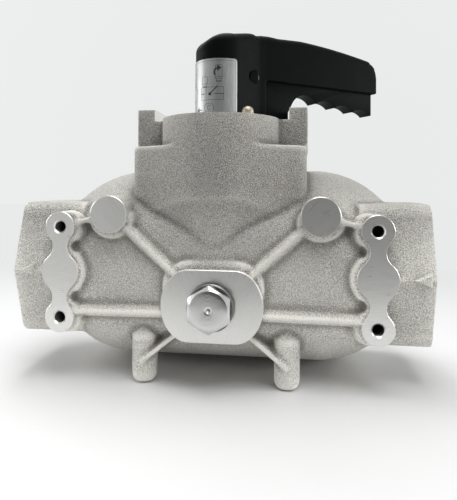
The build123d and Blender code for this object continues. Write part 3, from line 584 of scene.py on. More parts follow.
# Oval face of the plug, with a frame above it only
OVAL_Z = -23.0
OVAL_HALF_W = 40.0
OVAL_HALF_H = 28.0
OVAL_FLAT = 18.0
OVAL_FACE_Y = -3.0
OVAL_FRAME_W = 5.5
OVAL_FRAME_ROOT_W = 8.5
OVAL_FADE_START = 2.0
OVAL_FADE_H = 16.0
oval = arc((0, 0), 1, -90, 90, 24)
oval_outline = [
    (OVAL_FLAT + (OVAL_HALF_W - OVAL_FLAT) * x, OVAL_Z + OVAL_HALF_H * z) for x, z in oval
]
oval_outline += [(-x, z) for x, z in reversed(oval_outline)]


def widened(grow):
    """Oval outline moved outwards by the same distance all round."""
    wide = []
    for x, z in oval_outline:
        out = Vector((x - math.copysign(OVAL_FLAT, x), z - OVAL_Z))
        if abs(x) < OVAL_FLAT:
            out.x = 0
        out.normalize()
        wide.append((x + out.x * grow, z + out.y * grow))
    return wide


def upper_side(grow):
    """Outline round the oval that is wide above it only."""
    narrow, wide = widened(FRAME_OUTER_W), widened(grow)
    return partly(narrow, wide, lambda x, z: (z - OVAL_Z - OVAL_FADE_START) / OVAL_FADE_H)


layers = [(widened(grow), height - OVAL_FACE_Y) for grow, height in mesa_layers]
mesas.append(milled_on_top(stacked("oval", layers, FACE_ON), OVAL_FACE_Y))
outline, root = upper_side(OVAL_FRAME_W), upper_side(OVAL_FRAME_ROOT_W)
blank.append(sawn("oval_frame", outline, -FRAME_Y, -FRAME_ROOT_Y, FACE_ON, root))

# Ribs between pads, discs, oval and feet: a narrow crest, the long ones on a wider base
RIB_W = 3.4
RIB_FACE_Y = 0.2
RIB_ROOT_Y = 10.0
RIB_SPREAD = 0.9
RIB_BASE_W = 8.5
RIB_BASE_Y = 3.6
DIAGONAL_END = (24.0, OVAL_Z + 18)
LEVEL_START = (30.0, OVAL_Z - 7)
LEVEL_END = (PAD_X, -31.5)
TIE_ROOT_Y = 16.0
FOOT_X = 57.5
FOOT_Y = 14.0
FOOT_LOW_Z = -88.0
LEG_START = (24.0, OVAL_Z - 20)
LEG_END = (FOOT_X, -70.0)
LEG_W = 3.0
LEG_FACE_Y = 2.0
LEG_ROOT_Y = 30.0
LEG_SPREAD = 2.0


def front_bar(start, end, width, face_y, root_y, spread):
    """Rib between two points of the front, wider at its root."""
    (x0, z0), (x1, z1) = start, end
    length = math.hypot(x1 - x0, z1 - z0)
    along = Vector(((x1 - x0) / length, (z1 - z0) / length))
    across = Vector((-along.y, along.x))
    piece = box("rib", (-length / 2, face_y, -width / 2), (length / 2, root_y, width / 2))
    share = 1 + 2 * spread / width
    for vertex in piece.data.vertices:
        if vertex.co.y > (face_y + root_y) / 2 * MM:
            vertex.co.z *= share
    middle = ((x0 + x1) / 2 * MM, (z0 + z1) / 2 * MM)
    for vertex in piece.data.vertices:
        spot = Vector(middle) + along * vertex.co.x + across * vertex.co.z
        vertex.co.x, vertex.co.z = spot
    return settle(piece, "rib")


crest = (RIB_W, RIB_FACE_Y, RIB_ROOT_Y, RIB_SPREAD)
base = (RIB_BASE_W, RIB_BASE_Y, RIB_ROOT_Y, RIB_SPREAD)
short_tie = (RIB_W, RIB_FACE_Y, TIE_ROOT_Y, RIB_SPREAD)
leg = (LEG_W, LEG_FACE_Y, LEG_ROOT_Y, LEG_SPREAD)
disc = (DISC_X, DISC_Z)
ribs = (
    (disc, DIAGONAL_END, crest),
    (LEVEL_START, LEVEL_END, crest),
    (disc, (PAD_X, PAD_HOLE_Z), short_tie),
    (LEG_START, LEG_END, leg),
    (disc, DIAGONAL_END, base),
    (LEVEL_START, LEVEL_END, base),
)
for side in (-1, 1):
    for (x0, z0), (x1, z1), section in ribs:
        blank.append(front_bar((side * x0, z0), (side * x1, z1), *section))
    foot = [
        (4.0, FOOT_LOW_Z), (7.5, FOOT_LOW_Z + 1), (9.6, FOOT_LOW_Z + 3.5),
        (10.2, FOOT_LOW_Z + 8), (10.2, FOOT_LOW_Z + 38), (4.0, FOOT_LOW_Z + 46),
    ]
    blank.append(turned("foot", foot, place=(side * FOOT_X, FOOT_Y, 0), sides=48))

# The blank becomes one skin with cast fillets everywhere
CASTING_VOXEL = 1.5
CASTING_KEPT_SHARE = 0.55
SOFTENING = 3


def joined(pieces, name):
    """Several solids as one object."""
    deselect()
    for each in pieces:
        each.select_set(True)
    bpy.context.view_layer.objects.active = pieces[0]
    bpy.ops.object.join()
    pieces[0].name = name
    return pieces[0]


def finished_with(piece, kind, **settings):
    """Adds a modifier and applies it."""
    alone(piece)
    made = piece.modifiers.new(kind.lower(), kind)
    for name, value in settings.items():
        setattr(made, name, value)
    bpy.ops.object.modifier_apply(modifier=made.name)


def one_skin(solids, name, voxel):
    """Melts several solids into one, with a soft fillet wherever they meet."""
    piece = joined(solids, name)
    finished_with(piece, "REMESH", mode="VOXEL", voxel_size=voxel * MM)
    finished_with(piece, "SMOOTH", factor=0.5, iterations=SOFTENING)
    return piece


casting = one_skin(blank, "cast_head", CASTING_VOXEL)
coat_with(casting, blasted)
finished_with(casting, "DECIMATE", ratio=CASTING_KEPT_SHARE)

# Flow arrow cast on the front of each port: both point to the left
ARROW_L = 17.5
ARROW_HALF_H = 7.5
ARROW_FACE_Y = 3.6
ARROW_WALL_Y = 9.5
ARROW_ROOT_Y = 12.0
ARROW_DRAFT = 0.56
ARROW_TIPS = (-165.8, 148.8)


def combined(piece, tool, operation):
    """Joins a solid to a piece or takes it away, and each keeps its own finish."""
    finished_with(
        piece,
        "BOOLEAN",
        object=tool,
        operation=operation,
        solver="MANIFOLD",
        material_mode="TRANSFER",
    )
    bpy.data.objects.remove(tool)


for tip in ARROW_TIPS:
    root = [(tip, 0), (tip + ARROW_L, -ARROW_HALF_H), (tip + ARROW_L, ARROW_HALF_H)]
    middle = tip + ARROW_L * 2 / 3
    top = [(middle + (x - middle) * ARROW_DRAFT, z * ARROW_DRAFT) for x, z in root]
    layers = [(top, -ARROW_FACE_Y), (root, -ARROW_WALL_Y), (root, -ARROW_ROOT_Y)]
    arrow = stacked("arrow", layers, FACE_ON)
    coat_with(arrow, blasted)
    mesas.append(arrow)
combined(casting, joined(mesas, "mesas"), "UNION")

# Milled faces: everything proud of these planes comes off
CHIP = 12.0
NECK_MILL_END_Y = 100
BACK_MILL_X = 170
BACK_MILL_Z = (-100, 95)
PORT_MILL_Y = (-10, 120)
PORT_MILL_Z = (-70, 70)


def machined(piece, cutters, finish):
    """Takes the cutters out of a piece, whose cut faces get the cutters' finish."""
    cutter = joined(cutters, "cutter")
    coat_with(cutter, finish)
    combined(piece, cutter, "DIFFERENCE")


neck_far = (LUG_IN_X, NECK_MILL_END_Y, NECK_TOP_Z + CHIP)
low, high = BACK_MILL_Z
slabs = [
    box("slab", (-LUG_IN_X, -CHIP, NECK_TOP_Z), neck_far),
    box("slab", (-BACK_MILL_X, RIM_BACK_Y, low), (BACK_MILL_X, RIM_BACK_Y + CHIP, high)),
]
for side in (-1, 1):
    near, far = sorted((side * PORT_END_X, side * (PORT_END_X + CHIP)))
    (front, back), (low, high) = PORT_MILL_Y, PORT_MILL_Z
    slabs.append(box("slab", (near, front, low), (far, back, high)))
machined(casting, slabs, milled)

# Bores of the first clamping: valve chamber, bowl sockets and all tapped holes
CHAMBER_R = 32.0
CHAMBER_FLOOR_Z = -40.0
FLOOR_BORE_R = 13.0
FLOOR_BORE_DEPTH = 8.0
COVER_R = 43.0
COVER_SEAT_Z = 109.0
COVER_CHAMFER = 1.5
SOCKET_R = 66.0
SOCKET_FLOOR_Y = 86.0
SOCKET_LIP_R = 69.8
SOCKET_LIP_Y = 116.0
THREAD_SOCKET = 3.0
THREAD_SOCKET_DEPTH = 1.2
THREAD_OFF_FLOOR = 6
THREAD_OFF_LIP = 3
THREAD_M10 = 1.5
THREAD_LEAD = 1.2
THREAD_RUNOUT = 2.0
TAPPED_R = 4.4
TAPPED_ROOT_R = 5.1
TAPPED_DEPTH = 20.0
COUNTERSINK_R = TAPPED_ROOT_R + 0.4
COUNTERSINK_END_R = TAPPED_R - 0.3
COUNTERSINK_DEPTH = 1.4
PORT_Y = 53.0
FLANGE_Y = 42.9
FLANGE_Z = 77.8
FLANGE_HOLE_R = 5.1
FLANGE_HOLE_DEPTH = 27.0
FLANGE_CHAMFER = 1.2
CHAMFER = 1.0
DARK_THREAD_TONES = ((0.03, 0.029, 0.026), (0.14, 0.137, 0.13))
TO_RIGHT = Matrix.Rotation(math.radians(90), 4, "Y")
TO_LEFT = Matrix.Rotation(math.radians(-90), 4, "Y")


def mottled(name, size, detail, tones, roughness, spread, metallic=0.0, depth=0.0):
    """Finish that goes from a dark and glossy tone to a light and dull one in spots."""
    made, tree, shader = new_tree(name)
    spots = noise(place_on_piece(tree), size, detail)
    feed(shader, "Base Color", blend(spots, *tones))
    feed(shader, "Roughness", spots * spread + roughness if spread else roughness)
    feed(shader, "Metallic", metallic)
    if depth:
        feed(shader, "Normal", bumped(spots, depth))
    return made


def tapped(start, end, pitch, crest, root):
    """Half section of a thread, as pairs of radius and depth."""
    turns = round((end - start) / pitch)
    section = []
    for i in range(turns):
        depth = start + i * pitch
        section += [(crest, depth), (crest, depth + 0.2 * pitch), (root, depth + 0.6 * pitch)]
    return section + [(crest, start + turns * pitch)]


chamber = [
    (FLOOR_BORE_R, CHAMBER_FLOOR_Z - FLOOR_BORE_DEPTH),
    (FLOOR_BORE_R, CHAMBER_FLOOR_Z),
    (CHAMBER_R, CHAMBER_FLOOR_Z),
    (CHAMBER_R, COVER_SEAT_Z),
    (COVER_R, COVER_SEAT_Z),
    (COVER_R, NECK_TOP_Z - COVER_CHAMFER),
    (COVER_R + COVER_CHAMFER, NECK_TOP_Z),
    (COVER_R + COVER_CHAMFER, NECK_TOP_Z + CHIP),
]
bores = [turned("bore", chamber, place=(0, NECK_Y, 0), sides=128)]
root_r = SOCKET_R + THREAD_SOCKET_DEPTH
start, end = SOCKET_FLOOR_Y + THREAD_OFF_FLOOR, SOCKET_LIP_Y - THREAD_OFF_LIP
socket = [(SOCKET_R, SOCKET_FLOOR_Y)]
socket += tapped(start, end, THREAD_SOCKET, SOCKET_R, root_r)
socket += [(SOCKET_R, SOCKET_LIP_Y), (SOCKET_LIP_R, SOCKET_LIP_Y)]
socket += [(SOCKET_LIP_R, RIM_BACK_Y - CHAMFER), (SOCKET_LIP_R + CHAMFER, RIM_BACK_Y)]
socket += [(SOCKET_LIP_R + CHAMFER, RIM_BACK_Y + CHIP)]
pad_hole = [(TAPPED_R, TAPPED_DEPTH)]
thread_end = TAPPED_DEPTH - THREAD_RUNOUT
pad_hole += reversed(tapped(THREAD_LEAD, thread_end, THREAD_M10, TAPPED_R, TAPPED_ROOT_R))
pad_hole += [(TAPPED_R, 0), (TAPPED_R, -CHIP)]
countersink = [(COUNTERSINK_END_R, COUNTERSINK_DEPTH), (COUNTERSINK_R, 0)]
countersink.append((COUNTERSINK_R, -CHIP))
flange_hole = [(FLANGE_HOLE_R, -FLANGE_HOLE_DEPTH), (FLANGE_HOLE_R, -FLANGE_CHAMFER)]
flange_hole += [(FLANGE_HOLE_R + FLANGE_CHAMFER, 0), (FLANGE_HOLE_R + FLANGE_CHAMFER, CHIP)]
tapped_holes = []
for side in (-1, 1):
    outward = TO_RIGHT if side > 0 else TO_LEFT
    bores.append(turned("bore", socket, TO_DEPTH, (side * LOBE_X, 0, LOBE_Z), sides=160))
    for z in (-PAD_HOLE_Z, PAD_HOLE_Z):
        place = (side * PAD_X, 0, z)
        tapped_holes.append(turned("bore", pad_hole, TO_DEPTH, place, sides=32))
        bores.append(turned("bore", countersink, TO_DEPTH, place, sides=32))
    for y in (PORT_Y - FLANGE_Y / 2, PORT_Y + FLANGE_Y / 2):
        for z in (-FLANGE_Z / 2, FLANGE_Z / 2):
            place = (side * PORT_END_X, y, z)
            tapped_holes.append(turned("bore", flange_hole, outward, place, sides=32))
# The threads get a dark mottled finish
dark_thread_finish = mottled("tapped_aluminium", 1.4, 2.0, DARK_THREAD_TONES, 0.3, 0.2, 0.8)
machined(casting, tapped_holes, dark_thread_finish)
machined(casting, bores, milled)

# Bores that break into the first ones: the galleries, then what opens into them
PORT_BORE_R = 25.5
PORT_MOUTH = 26.0
GALLERY_R = 24.0
GALLERY_END_X = 26.0
PLUG_BORE_R = 13.5
PLUG_BORE_END_Y = 20.0
# For each bore in a socket's floor: place across the head, radius and depth of its start
OUTLET_BORE = (LOBE_X, 17.0, PORT_Y)
BYPASS_BORE = (122.0, 11.0, PORT_Y)
FEED_BORE = (29.0, 9.0, 60.0)
SOCKET_OVERCUT = 4.0

gallery = [(GALLERY_R, GALLERY_END_X), (GALLERY_R, PORT_END_X - PORT_MOUTH)]
gallery += [(PORT_BORE_R, PORT_END_X - PORT_MOUTH), (PORT_BORE_R, PORT_END_X - CHAMFER)]
gallery += [(PORT_BORE_R + CHAMFER, PORT_END_X), (PORT_BORE_R + CHAMFER, PORT_END_X + CHIP)]
bores = [turned("bore", gallery, turn, (0, PORT_Y, 0), sides=96) for turn in (TO_LEFT, TO_RIGHT)]
machined(casting, bores, milled)
plug_bore = [(PLUG_BORE_R, -CHIP), (PLUG_BORE_R, PLUG_BORE_END_Y)]
bores = [turned("bore", plug_bore, TO_DEPTH, (0, 0, OVAL_Z), sides=64)]
for side in (-1, 1):
    for x, radius, start in (OUTLET_BORE, BYPASS_BORE, FEED_BORE):
        bore = [(radius, start), (radius, SOCKET_FLOOR_Y + SOCKET_OVERCUT)]
        bores.append(turned("bore", bore, TO_DEPTH, (side * x, 0, LOBE_Z), sides=64))
machined(casting, bores, milled)

# The skin gets a painted highlight on its edges and a painted shade in its hollows
RELIEF_RADIUS = 12.0
RELIEF_SOFTENING = 6
LONG_EDGE = 2.5 * CASTING_VOXEL


def mark_relief(piece, rounds):
    """Gives each vertex how much it stands out, from -1 in a hollow to 1 on an edge, which paints
    shade in the hollows and a highlight on the edges.
    """
    mesh = piece.data
    count = len(mesh.vertices)
    place = np.empty(count * 3)
    mesh.vertices.foreach_get("co", place)
    normal = np.empty(count * 3)
    mesh.vertices.foreach_get("normal", normal)
    ends = np.empty(len(mesh.edges) * 2, dtype=int)
    mesh.edges.foreach_get("vertices", ends)
    place, normal, ends = place.reshape(-1, 3), normal.reshape(-1, 3), ends.reshape(-1, 2)
    start = np.concatenate([ends[:, 0], ends[:, 1]])
    end = np.concatenate([ends[:, 1], ends[:, 0]])
    near = np.maximum(np.bincount(start, minlength=count), 1)
    step = place[end] - place[start]
    rise = -(step * normal[start]).sum(axis=1) / np.maximum((step**2).sum(axis=1), 1e-9)
    value = np.bincount(start, rise, count) / near
    value = np.clip(value * RELIEF_RADIUS * MM, -1, 1)
    length = np.bincount(start, np.sqrt((step**2).sum(axis=1)), count) / near
    value[length > LONG_EDGE * MM] = 0
    for _ in range(rounds):
        value = 0.5 * value + 0.5 * np.bincount(start, value[end], count) / near
    mesh.attributes.new("relief", "FLOAT", "POINT").data.foreach_set("value", value)


mark_relief(casting, RELIEF_SOFTENING)
alone(casting)
bpy.ops.object.shade_smooth_by_angle(angle=math.radians(40))
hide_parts("head_casting")
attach(casting, "head")


# Front plug
# Screwed into the oval face to close the bore behind it: bright zinc-plated steel, turned
# from hexagon bar, so its face has a ring chamfer, tool rings and a centre dimple. Its collar is
# painted dark as shade.
PLUG_FACE_Y = -16.5
PLUG_FACE_R = 15.0
PLUG_CORNER_R = 18.475
PLUG_SEAT_Y = -7.5
PLUG_COLLAR_R = 18.4
PLUG_COLLAR_END_Y = -4.5
PLUG_DIMPLE = 2.4
PLUG_SHANK_R = 13.4
PLUG_SHANK_END_Y = 9.0
CROWN_R = PLUG_FACE_R + 5.2
CROWN_Y = PLUG_FACE_Y + 3.6
FACE_ZINC = ((0.50, 0.50, 0.50), (0.78, 0.78, 0.77))
SHADED_COLLAR_ZINC = ((0.14, 0.14, 0.135), (0.22, 0.22, 0.21))


def turned_metal(name, tones, roughness, centre, axis, depth=0.01):
    """Metal with the fine rings of a lathe tool round an axis through a centre."""
    made, tree, shader = new_tree(name)
    spot = place_on_piece(tree, move=[-c * MM for c in centre])
    rings = node(
        tree,
        "ShaderNodeTexWave",
        {"wave_type": "RINGS", "rings_direction": axis},
        {"Vector": spot, "Scale": 330.0, "Distortion": 0.6, "Detail": 2.0, "Detail Scale": 2.0},
    )
    scuffs = noise(spot, 1.6, 3.0)
    mark = rings * 0.45 + scuffs * 0.55
    feed(shader, "Base Color", blend(mark, *tones))
    feed(shader, "Roughness", mark * 0.14 + roughness)
    feed(shader, "Metallic", 1.0)
    feed(shader, "Normal", bumped(rings, depth))
    return made


def fitted(piece, name, material, body, smooth=35):
    """Finished piece in place of its CAD node."""
    if material:
        coat_with(piece, material)
    alone(piece)
    bpy.ops.object.shade_smooth_by_angle(angle=math.radians(smooth))
    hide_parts(name)
    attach(piece, body)


def deburred(piece, width, steps, sharp):
    """Breaks the edges that turn by more than an angle."""
    finished_with(
        piece,
        "BEVEL",
        width=width * MM,
        segments=steps,
        limit_method="ANGLE",
        angle_limit=math.radians(sharp),
    )


plug_place = (0, 0, OVAL_Z)
corners = arc((0, OVAL_Z), PLUG_CORNER_R, 90, 450, 6)[:-1]
hexagon = sawn("hexagon", corners, -PLUG_FACE_Y, -PLUG_SEAT_Y + 1, FACE_ON)
profile = [
    (0.05, PLUG_FACE_Y + PLUG_DIMPLE),
    (1.5, PLUG_FACE_Y + 0.9),
    (PLUG_DIMPLE, PLUG_FACE_Y + 0.2),
    (3.0, PLUG_FACE_Y + 0.03),
    (3.6, PLUG_FACE_Y),
    (7.5, PLUG_FACE_Y + 0.05),
    (11.5, PLUG_FACE_Y + 0.2),
    (PLUG_FACE_R - 0.3, PLUG_FACE_Y + 0.45),
    (PLUG_FACE_R, PLUG_FACE_Y + 0.7),
    (CROWN_R, CROWN_Y),
    (CROWN_R, PLUG_SEAT_Y),
]
crown = turned("crown", profile, TO_DEPTH, plug_place, sides=144)
combined(hexagon, crown, "INTERSECT")
deburred(hexagon, 0.35, 2, 25)
profile = [
    (PLUG_COLLAR_R - 1.2, PLUG_SEAT_Y - 0.4),
    (PLUG_COLLAR_R - 0.5, PLUG_SEAT_Y),
    (PLUG_COLLAR_R, PLUG_SEAT_Y + 0.5),
    (PLUG_COLLAR_R, PLUG_COLLAR_END_Y),
    (PLUG_SHANK_R, PLUG_COLLAR_END_Y),
    (PLUG_SHANK_R, PLUG_SHANK_END_Y - 1),
    (PLUG_SHANK_R - 0.8, PLUG_SHANK_END_Y),
]
collar = turned("collar", profile, TO_DEPTH, plug_place, sides=96)
face_zinc = turned_metal("zinc_plated_steel", FACE_ZINC, 0.13, plug_place, "Y", 0.03)
coat_with(hexagon, face_zinc)
# The collar is the same zinc-plated steel, with painted shade making it dark
coat_with(collar, turned_metal("shaded_zinc_collar", SHADED_COLLAR_ZINC, 0.35, plug_place, "Y"))
plug = joined([hexagon, collar], "hex_plug")
fitted(plug, "front_plug", None, "head", 28)


# Rubber seals
# The flat washer behind the plug and the rings in their grooves: black nitrile rubber,
# moulded, with a dull skin. None of them shows but the washer's edge.
RUBBER_TONES = ((0.012, 0.012, 0.012), (0.03, 0.03, 0.03))
SEALS = (
    "front_plug_seal", "cover_seal", "spindle_seal", "socket_seal_left", "socket_seal_right",
    "spigot_seal_left", "spigot_seal_right",
)


def as_drawn(names, material):
    """CAD nodes that keep their own shape and get a finish."""
    for name in names:
        coat_with(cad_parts[name], material)


dull_rubber = mottled("nitrile_rubber", 1.5, 3.0, RUBBER_TONES, 0.5, 0.2, depth=0.03)
as_drawn(SEALS, dull_rubber)


# Cover of the valve chamber, with its screws
# A turned aluminium disc on the neck's shoulder round the spindle, held by six cap screws
# of zinc-plated steel in counterbores.
COVER_TONES = ((0.55, 0.55, 0.55), (0.72, 0.72, 0.72))
ZINC_TONES = ((0.55, 0.56, 0.58), (0.75, 0.76, 0.78))


def copied(name):
    """Own copy of a CAD node's mesh, with its doubles merged and flat faces whole."""
    piece = bpy.data.objects.new("made_" + name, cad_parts[name].data.copy())
    bpy.context.collection.objects.link(piece)
    alone(piece)
    bpy.ops.object.mode_set(mode="EDIT")
    bpy.ops.mesh.select_all(action="SELECT")
    bpy.ops.mesh.remove_doubles(threshold=0.002 * MM)
    bpy.ops.mesh.dissolve_limited(angle_limit=math.radians(0.2))
    bpy.ops.object.mode_set(mode="OBJECT")
    return piece


def edge_broken(name, material, body, width, steps=2):
    """CAD node remade with its sharp edges broken."""
    piece = copied(name)
    deburred(piece, width, steps, 38)
    fitted(piece, name, material, body)


neck_place = (0, NECK_Y, 0)
turned_cover = turned_metal("turned_aluminium", COVER_TONES, 0.28, neck_place, "Z")
edge_broken("valve_cover", turned_cover, "head", 0.4)
bright_zinc = turned_metal("bright_zinc", ZINC_TONES, 0.2, neck_place, "Z")
edge_broken("cover_screws", bright_zinc, "head", 0.25)


# Vent point beside the lever
# A stud through the cover with a washer and a small domed cap nut of yellowish brass,
# which is opened to let the air out.
BRASS_TONES = ((0.22, 0.20, 0.15), (0.52, 0.48, 0.37))
worn_brass = mottled("worn_brass", 2.2, 3.0, BRASS_TONES, 0.4, 0.25, 0.8, 0.05)
edge_broken("vent_cap", worn_brass, "head", 0.3)
edge_broken("vent_washer", bright_zinc, "head", 0.2)
as_drawn(("vent_stud",), bright_zinc)


# Bushes, thrust washers and bypass bodies
# Cast bearing bronze, turned all over. The bushes are pressed into cover and floor, and
# the bodies of the bypass valves are screwed into the sockets' floors.
BRONZE_TONES = ((0.42, 0.27, 0.12), (0.62, 0.44, 0.24))
BRONZES = (
    "upper_bush", "lower_bush", "upper_thrust_washer", "lower_thrust_washer",
    "bypass_body_left", "bypass_body_right",
)
bronze = turned_metal("turned_bronze", BRONZE_TONES, 0.28, neck_place, "Z")
as_drawn(BRONZES, bronze)


# Spigots of the two filter bowls
# Turned aluminium pipes in the floor of each bowl socket, on which the elements push. Each
# has a groove for its seal.
SPIGOT_TONES = ((0.5, 0.5, 0.5), (0.7, 0.7, 0.7))
for side, name in ((-1, "left"), (1, "right")):
    middle = (side * LOBE_X, 0, LOBE_Z)
    finish = turned_metal("turned_spigot_" + name, SPIGOT_TONES, 0.25, middle, "Y")
    edge_broken("element_spigot_" + name, finish, "head", 0.3)


# Springs
# Cold-drawn spring wire, coiled and blackened by its heat treatment. One closes each
# bypass valve, and one lifts the rod in the spindle.
WIRE_TONES = ((0.12, 0.12, 0.12), (0.30, 0.29, 0.28))
SPRINGS = ("bypass_spring_left", "bypass_spring_right", "rod_spring")
drawn_wire = mottled("spring_wire", 0.8, 2.0, WIRE_TONES, 0.28, 0.15, 1.0)
as_drawn(SPRINGS, drawn_wire)


# Spindle, drum, key and rod, and the steel pieces of the bypass valves
# Ground steel shafts, and a drum of turned aluminium that steers the flow from one bowl
# to the other.
STEEL_TONES = ((0.42, 0.42, 0.43), (0.62, 0.62, 0.63))
STEELS = (
    "spindle", "drum_key", "equalising_rod", "hub_sleeve", "clamp_screw",
    "bypass_poppet_left", "bypass_poppet_right",
)
ground_steel = turned_metal("ground_steel", STEEL_TONES, 0.2, neck_place, "Z")
as_drawn(STEELS, ground_steel)
as_drawn(("valve_drum",), turned_cover)


# Lever shell
# One moulding of black glass-filled nylon, hollow below. Its mould was spark eroded, which
# leaves a fine satin grain. Its edges are round, and the grip runs into the hub by a fillet.
LEVER_ANGLE = 33.0
SHELL_VOXEL = 0.9
FILLET_LOW_Z = 124.0
FILLET_TOP_Z = 197.0
SHELL_KEPT_SHARE = 0.45
SHELL_END_S = 161.0
SHELL_END_R = 6.5
SHELL_END_Z = 187.6
PIVOT_S = 26.0
PIVOT_Z = 164.0
BLACK = (0.0005, 0.0008, 0.0007)
ACROSS = Matrix.Rotation(math.radians(90), 4, "X")
AT_REST = Matrix.Translation((0, NECK_Y * MM, 0)) @ Matrix.Rotation(
    math.radians(LEVER_ANGLE), 4, "Z"
)
# Half outline of the fillet between hub and grip, along and across the lever
FILLET = (
    (21.5, 13.0), (22.2, 15.0), (27.0, 13.4), (31.0, 12.4), (38.0, 12.0), (38.0, 9.6), (26, 9.6),
)
# How far the back of the moulding stands above or below the plain solid, along the lever.
# The shift grows over a height above its start, and that starts lower where it rises, so
# that the ceiling over the trigger rises with it.
CROWN_SHIFTS = (
    (-22, 0.0), (-14, 0.2), (-8, -0.9), (-2, -2.6), (4, -4.0), (12, -3.8), (24, -2.4),
    (34, -0.6), (42, -0.3), (52, -0.9), (64, 0.0), (76, 1.0), (124, 1.8), (154, 2.2), (161, 1.4),
)
FALL_START_Z = 172.0
RISE_START_Z = 166.0
SHIFT_HEIGHT = 14.0


def satin_plastic(name, light, grain):
    """Black plastic with a spark-eroded grain, a little green in the light."""
    made, tree, shader = new_tree(name)
    spot = place_on_piece(tree)
    skin = noise(spot, grain, 1.0)
    rubbed = noise(spot, 24.0, 2.0)
    feed(shader, "Base Color", blend(skin, BLACK, light))
    feed(shader, "Roughness", skin * 0.16 + rubbed * 0.1 + 0.38)
    feed(shader, "Specular IOR Level", 0.05)
    feed(shader, "Normal", bumped(skin, 0.12))
    return made


moulded = satin_plastic("black_nylon", (0.003, 0.0045, 0.004), 0.9)
solids = [copied("lever_shell")]
for side in (-1, 1):
    outline = [(s, side * t) for s, t in FILLET]
    solids.append(sawn("fillet", outline, FILLET_LOW_Z, FILLET_TOP_Z, AT_REST))
nose = [
    (SHELL_END_R - 4, -12.0), (SHELL_END_R - 1, -11.0), (SHELL_END_R, -8.0),
    (SHELL_END_R, 8.0), (SHELL_END_R - 1, 11.0), (SHELL_END_R - 4, 12.0),
]
place = (SHELL_END_S - SHELL_END_R, 0, SHELL_END_Z - SHELL_END_R)
nose_end = turned("nose", nose, ACROSS, place, sides=48)
nose_end.data.transform(AT_REST)
solids.append(nose_end)
shell = one_skin(solids, "lever_moulding", SHELL_VOXEL)
stations, shifts = zip(*CROWN_SHIFTS)
to_lever = AT_REST.inverted()
for vertex in shell.data.vertices:
    along = (to_lever @ vertex.co).x / MM
    shift = float(np.interp(along, stations, shifts))
    start_z = RISE_START_Z if shift > 0 else FALL_START_Z
    share = min(1.0, max(0.0, (vertex.co.z / MM - start_z) / SHIFT_HEIGHT))
    vertex.co.z += shift * share * MM
# Round recesses for the heads of the pivot pin, one on each side
other_side = Matrix.Translation((2 * PIVOT_S * MM, 0, 0)) @ Matrix.Rotation(math.pi, 4, "Z")
recesses = []
for turn in (AT_REST, AT_REST @ other_side):
    recess = turned("recess", [(6.0, 13.0), (6.6, 30.0)], ACROSS, (PIVOT_S, 0, PIVOT_Z), sides=48)
    recess.data.transform(turn)
    recesses.append(recess)
recess = joined(recesses, "recess")
coat_with(recess, moulded)
coat_with(shell, moulded)
combined(shell, recess, "DIFFERENCE")
finished_with(shell, "DECIMATE", ratio=SHELL_KEPT_SHARE)
fitted(shell, "lever_shell", moulded, "lever", 60)


# Trigger
# The finger grip under the lever, moulded in the same black plastic, with four hollows for
# the fingers. It swings on the pivot pin and presses down the rod that equalises the bowls.
gripped = satin_plastic("grip_nylon", (0.006, 0.008, 0.0075), 1.2)
edge_broken("grip_trigger", gripped, "trigger", 0.9, 3)


# Pivot pin
# Blackened steel pin through shell and trigger, on which the trigger swings. Its flat heads
# sit in the round recesses of the shell.
OXIDE_TONES = ((0.004, 0.004, 0.004), (0.012, 0.012, 0.013))
blackened = mottled("black_oxide", 1.0, 2.0, OXIDE_TONES, 0.35, 0.2)
edge_broken("pivot_pin", blackened, "lever", 0.4)


# Label
# Printed plate of silver film round the hub, with a thin border and picture signs only: a
# bowl that turns, the lever's place on the pipe, and bowls of the two sides.
LABEL_R = 22.15
LABEL_START = -63.0
LABEL_END = 17.4
LABEL_LOW_Z = 124.5
LABEL_TOP_Z = 175.0
LABEL_CORNER_R = 2.6
LABEL_BORDER = 1.7
LABEL_T = 0.35
INK_T = 0.05
INK_STEP = 1.5
PLATE_STEPS = 240
FINE_LINE = 0.3
FILM_TONES = ((0.19, 0.20, 0.20), (0.45, 0.46, 0.46))
INK_TONES = ((0.006, 0.006, 0.006), (0.02, 0.02, 0.02))


def round_hub(piece):
    """Bends a flat plate round the hub: X becomes the way round it, -Y the way out."""
    for vertex in piece.data.vertices:
        angle = vertex.co.x / (LABEL_R * MM)
        radius = LABEL_R * MM - vertex.co.y
        vertex.co.x = radius * math.sin(angle)
        vertex.co.y = NECK_Y * MM - radius * math.cos(angle)


def stroke(points, width):
    """Printed line through points of X and Z."""
    made = []
    for (x0, z0), (x1, z1) in zip(points, points[1:]):
        length = math.hypot(x1 - x0, z1 - z0)
        deselect()
        bpy.ops.mesh.primitive_cube_add(size=1)
        dash = bpy.context.object
        bpy.ops.object.mode_set(mode="EDIT")
        bpy.ops.mesh.subdivide(number_cuts=max(1, round(length / INK_STEP)))
        bpy.ops.object.mode_set(mode="OBJECT")
        lean = Matrix.Rotation(-math.atan2(z1 - z0, x1 - x0), 4, "Y")
        size = Matrix.Diagonal(((length + width) * MM, INK_T * MM, width * MM, 1))
        out = (LABEL_T + INK_T) / 2
        spot = ((x0 + x1) / 2 * MM, -out * MM, (z0 + z1) / 2 * MM)
        dash.data.transform(Matrix.Translation(spot) @ lean @ size)
        made.append(dash)
    return made


def blot(points):
    """Printed area with an outline of X and Z."""
    return [sawn("blot", points, 0, LABEL_T / 2 + 3 * INK_T, FACE_ON)]


def loop(x0, z0, x1, z1, width):
    """Printed rectangle between two corners."""
    return stroke([(x0, z0), (x1, z0), (x1, z1), (x0, z1), (x0, z0)], width)


